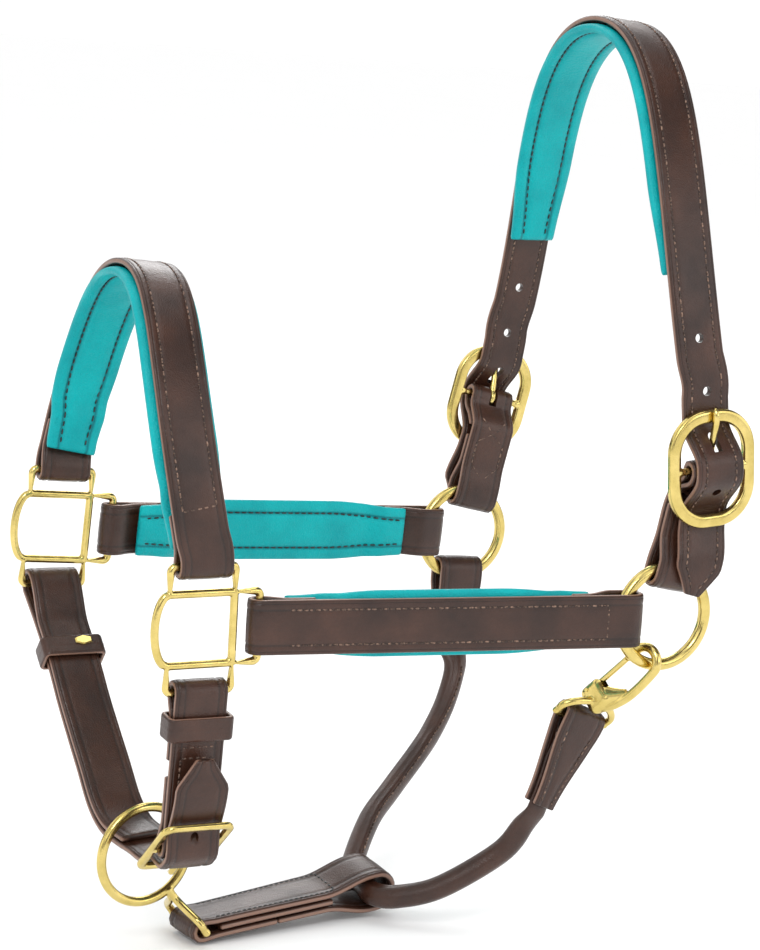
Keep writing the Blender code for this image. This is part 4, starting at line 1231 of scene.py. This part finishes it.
def throat():
    axes = throat_axes()
    at, along, across = axes["far"]
    fold = RING_WIRE + 0.7 + LEATHER / 2
    tab("ring_tab", "throat_ring_tab", "far", at, along, across, fold, RING_SAG, 3.5)
    at, along, across = axes["snap"]
    fold = EYE_WIRE + 0.6 + LEATHER / 2
    tab("snap_tab", "throat_snap_tab", "snap", at, along, across, fold, 0.8, 1.0)
    flat_start = 12
    loop = [LOOP_AT + LOOP_ACROSS * a for a in (13, 0, -13)]
    far_side = [Vector(p) for p in ((-2.3, 92, -72), (-10.7, 84, -89), (-24, 73, -102),
                                    (-37.5, 62, -110.2), (-62.2, 44, -124), (-82.6, 27, -134.4))]
    near_side = [Vector(p) for p in ((-96, -35, -152.2), (-78.3, -46, -144.9), (-53, -57, -126),
                                     (-45, -64, -110))]
    ends = {}
    for name, (at, along, across) in axes.items():
        tab_end = THROAT_TAB[name]
        ends[name] = [at + along * s for s in (flat_start, 23, tab_end, tab_end + 4)]
    line = rounded(ends["far"] + far_side + loop + near_side + ends["snap"][::-1], 2.2)
    travelled = distances(line)
    total = travelled[-1]
    rows = []
    seam = []
    widths = []
    for place, point, along in zip(travelled, line, tangents(line)):
        share = smooth(place / total)
        across = square_to(mix(axes["far"][2], axes["snap"][2], share), along)
        up = along.cross(across)
        end = "far" if place < total / 2 else "snap"
        from_end = min(place, total - place)
        round_share = smooth((from_end - (THROAT_TAB[end] - flat_start) * 0.9) / 26)
        wide = mix(min(9.0, tab_width(end, from_end + flat_start) / 2 - 0.6), ROLL, round_share)
        tall = mix(1.55, ROLL, round_share)
        row = []
        for a in all_round(32):
            ridge = 0.55 * round_share * math.exp(-((a - math.pi / 2) / 0.22) ** 2)
            crease = 0.5 * round_share * math.exp(-((a - math.pi / 2 - 0.42) / 0.12) ** 2)
            reach = 1 + (ridge - crease) / ROLL
            row.append(point + (across * wide * math.cos(a) + up * tall * math.sin(a)) * reach)
        rows.append(row)
        seam.append(point + up * (tall - LEATHER / 2 + 0.5 * round_share))
        widths.append(across)
    stands_for(lofted("throat_leather_roll", rows, BROWN, 60), "throat_roll")
    line = Path(seam, widths)
    loop_at = min(line.places, key=lambda place: (line.at(place)[0] - LOOP_AT).length)
    free = CONNECTOR_WIDE / 2 + 9
    sewn = [(THROAT_TAB["far"] + 6, loop_at - free, 1.6, 1.6),
            (loop_at + free, line.length - THROAT_TAB["snap"] - 6, 1.6, 1.6)]
    sew("throat", "throat_roll", line, sewn)


# ---- snap hook ----
HOOK_RADIUS = 7.0
HOOK_WIRE = 2.3
GATE_WIRE = 1.4
GATE_END = -7.0
PIVOT = (-33.0, HOOK_RADIUS)


def snap_place(long, side, across=0.0):
    return ring_foot() + SNAP_AXIS * long + SNAP_SIDE * side + SNAP_ACROSS * across


def snap():
    arm = [(-35, -2.0), (-29, -5.4), (-19, -7.8), (-9, -8.0)]
    bend = [(0.5 + HOOK_RADIUS * math.cos(a), HOOK_RADIUS * math.sin(a))
            for a in (math.radians(-80 + 17 * i) for i in range(11))]
    nose = [(-2.5, HOOK_RADIUS), (-6.4, HOOK_RADIUS)]
    line = rounded([snap_place(*p) for p in arm + bend + nose], 1.2)
    hook = wire("hook", line, HOOK_WIRE, up=SNAP_ACROSS)
    axes = (SNAP_AXIS, SNAP_SIDE, SNAP_ACROSS)
    boss = block("boss", snap_place(-31.5, 2.3), axes, Vector((14, 14.6, 8.4)), bevel=3.4)
    swelling = ((-37.5, 1.0, 3.0), (-34, 2.0, 6.2), (-29, 0.4, 6.0), (-23.5, -3.4, 4.4), (-17, -6.6, 2.6))
    line = [snap_place(long, side) for long, side, _ in swelling]
    shoulder = wire("shoulder", line, [radius for _, _, radius in swelling], flat=0.64, up=SNAP_ACROSS)
    half = STRAP / 2 + 3.0
    one_side = [(0, half - 2), (2, half), (6, half), (10, half - 4), (13, 5)]
    eye = [(s, -a) for s, a in one_side[::-1]] + one_side
    ring = rounded([eye_bar() + SNAP_AXIS * s + EYE_ACROSS * a for s, a in eye], 1.5)
    loop = wire("eye", ring, EYE_WIRE, closed=True)
    slot = block("slot", snap_place(-30, 8.5), axes, Vector((15, 12, 4.2)))
    body = cast("snap_casting", [hook, boss, shoulder, loop], smoothing=7, tools=[slot])
    stands_for(body, "snap_body")
    mark = [snap_place(PIVOT[0] + 1.5 + 2.6 * math.cos(a), 2.0 + 2.6 * math.sin(a), -4.1)
            for a in (math.radians(angle) for angle in spaced(40, 320, 26))]
    goes_with(wire("snap_mark", mark, 0.5, sides=10), "snap_body")
    hub = wire("hub", [snap_place(*PIVOT, a) for a in (-1.7, 0, 1.7)], 2.5, up=SNAP_AXIS)
    arm_points = straight(snap_place(PIVOT[0] + 1.9, PIVOT[1]), snap_place(GATE_END, PIVOT[1]))
    gate_arm = wire("arm", arm_points, GATE_WIRE)
    stands_for(cast("snap_gate_casting", [hub, gate_arm], voxel=0.35), "snap_gate")


for side_name in SIDES:
    halter_square(side_name)
    cheek_ring(side_name)
    cheek_strap(side_name)
    crown_chape(side_name)
    crown_buckle(side_name).frame()
    crown_buckle(side_name).tongue()
noseband()
crown()
chin()
chin_chape()
chin_buckle().frame()
chin_buckle().tongue()
keepers()
chin_ring()
connector()
throat()
snap()

for node_name in ("keeper_staple", "snap_gate_pin"):
    node = frame["nodes"][node_name]
    node.data.materials.clear()
    node.data.materials.append(BRASS)


# ---- floor, light and camera ----
PANEL_SCALE = 1.9         # of the soft panels that only gloss picks up
GAP_SHADE = 0.06
PANEL_WHITE = 1.5
ROOM_WHITE = 1.06
FLOOR_RADIUS = 40
CAMERA_AT = Vector((-0.678288, -1.108728, 0.262903))
CAMERA_AXES = ((0.89113622, -0.44831284, 0.06994161),     # to its right, up, and backwards
               (0.01373478, 0.18072811, 0.98343719),
               (-0.45352794, -0.87541587, 0.16721084))


def studio():
    made, tree, shader = node_tree("pale_floor")
    place = add(tree, "ShaderNodeTexCoord").outputs["Object"]
    cloud = noise_value(tree, place, 1.5, 2)
    colour = blended(tree, cloud, (0.95,) * 3, (0.965,) * 3)
    tree.links.new(colour, shader.inputs["Base Color"])
    shader.inputs["Roughness"].default_value = 0.9
    bm = bmesh.new()
    bmesh.ops.create_circle(bm, cap_ends=True, segments=96, radius=FLOOR_RADIUS)
    bmesh.ops.translate(bm, vec=(0, 0, CAD_BOX[0][2] - 0.001), verts=bm.verts)
    floor = finished("studio_floor", bm, made, 180)


def softbox(name, place, size, power):
    data = bpy.data.lights.new(name, "AREA")
    data.shape = "DISK"
    data.size = size
    data.energy = power
    lamp = bpy.data.objects.new(name, data)
    lamp.location = place
    lamp.rotation_euler = (Vector((-0.1, 0, 0.05)) - Vector(place)).to_track_quat("-Z", "Y").to_euler()
    bpy.context.scene.collection.objects.link(lamp)


def surroundings():
    """White all round.  Gloss also picks up the dark gaps between soft panels."""
    world = bpy.data.worlds.new("studio")
    world.use_nodes = True
    tree = world.node_tree
    toward = add(tree, "ShaderNodeTexCoord").outputs["Generated"]
    gaps = contrast(tree, noise_value(tree, toward, PANEL_SCALE, 1), 0.42, 0.58)
    panels = blended(tree, gaps, (GAP_SHADE,) * 3, (PANEL_WHITE,) * 3)
    glossy = add(tree, "ShaderNodeLightPath").outputs["Is Glossy Ray"]
    colour = blended(tree, glossy, (ROOM_WHITE,) * 3, panels)
    tree.links.new(colour, tree.nodes["Background"].inputs["Color"])
    bpy.context.scene.world = world


studio()
softbox("face_light", (1.1, -2.3, 0.75), 0.8, 3.5)
softbox("key_light", (-1.5, -1.7, 1.9), 0.9, 20)
softbox("top_light", (0.2, 0.1, 2.4), 1.4, 8)
softbox("back_light", (0.8, 2.0, 1.3), 0.9, 8)
surroundings()

camera_data = bpy.data.cameras.new("camera")
camera_data.lens = 98.73
camera_data.sensor_width = 36
camera = bpy.data.objects.new("camera", camera_data)
camera.matrix_world = Matrix.Translation(CAMERA_AT) @ Matrix(CAMERA_AXES).transposed().to_4x4()
bpy.context.scene.collection.objects.link(camera)
bpy.context.scene.camera = camera
bpy.context.scene.view_settings.view_transform = "Standard"
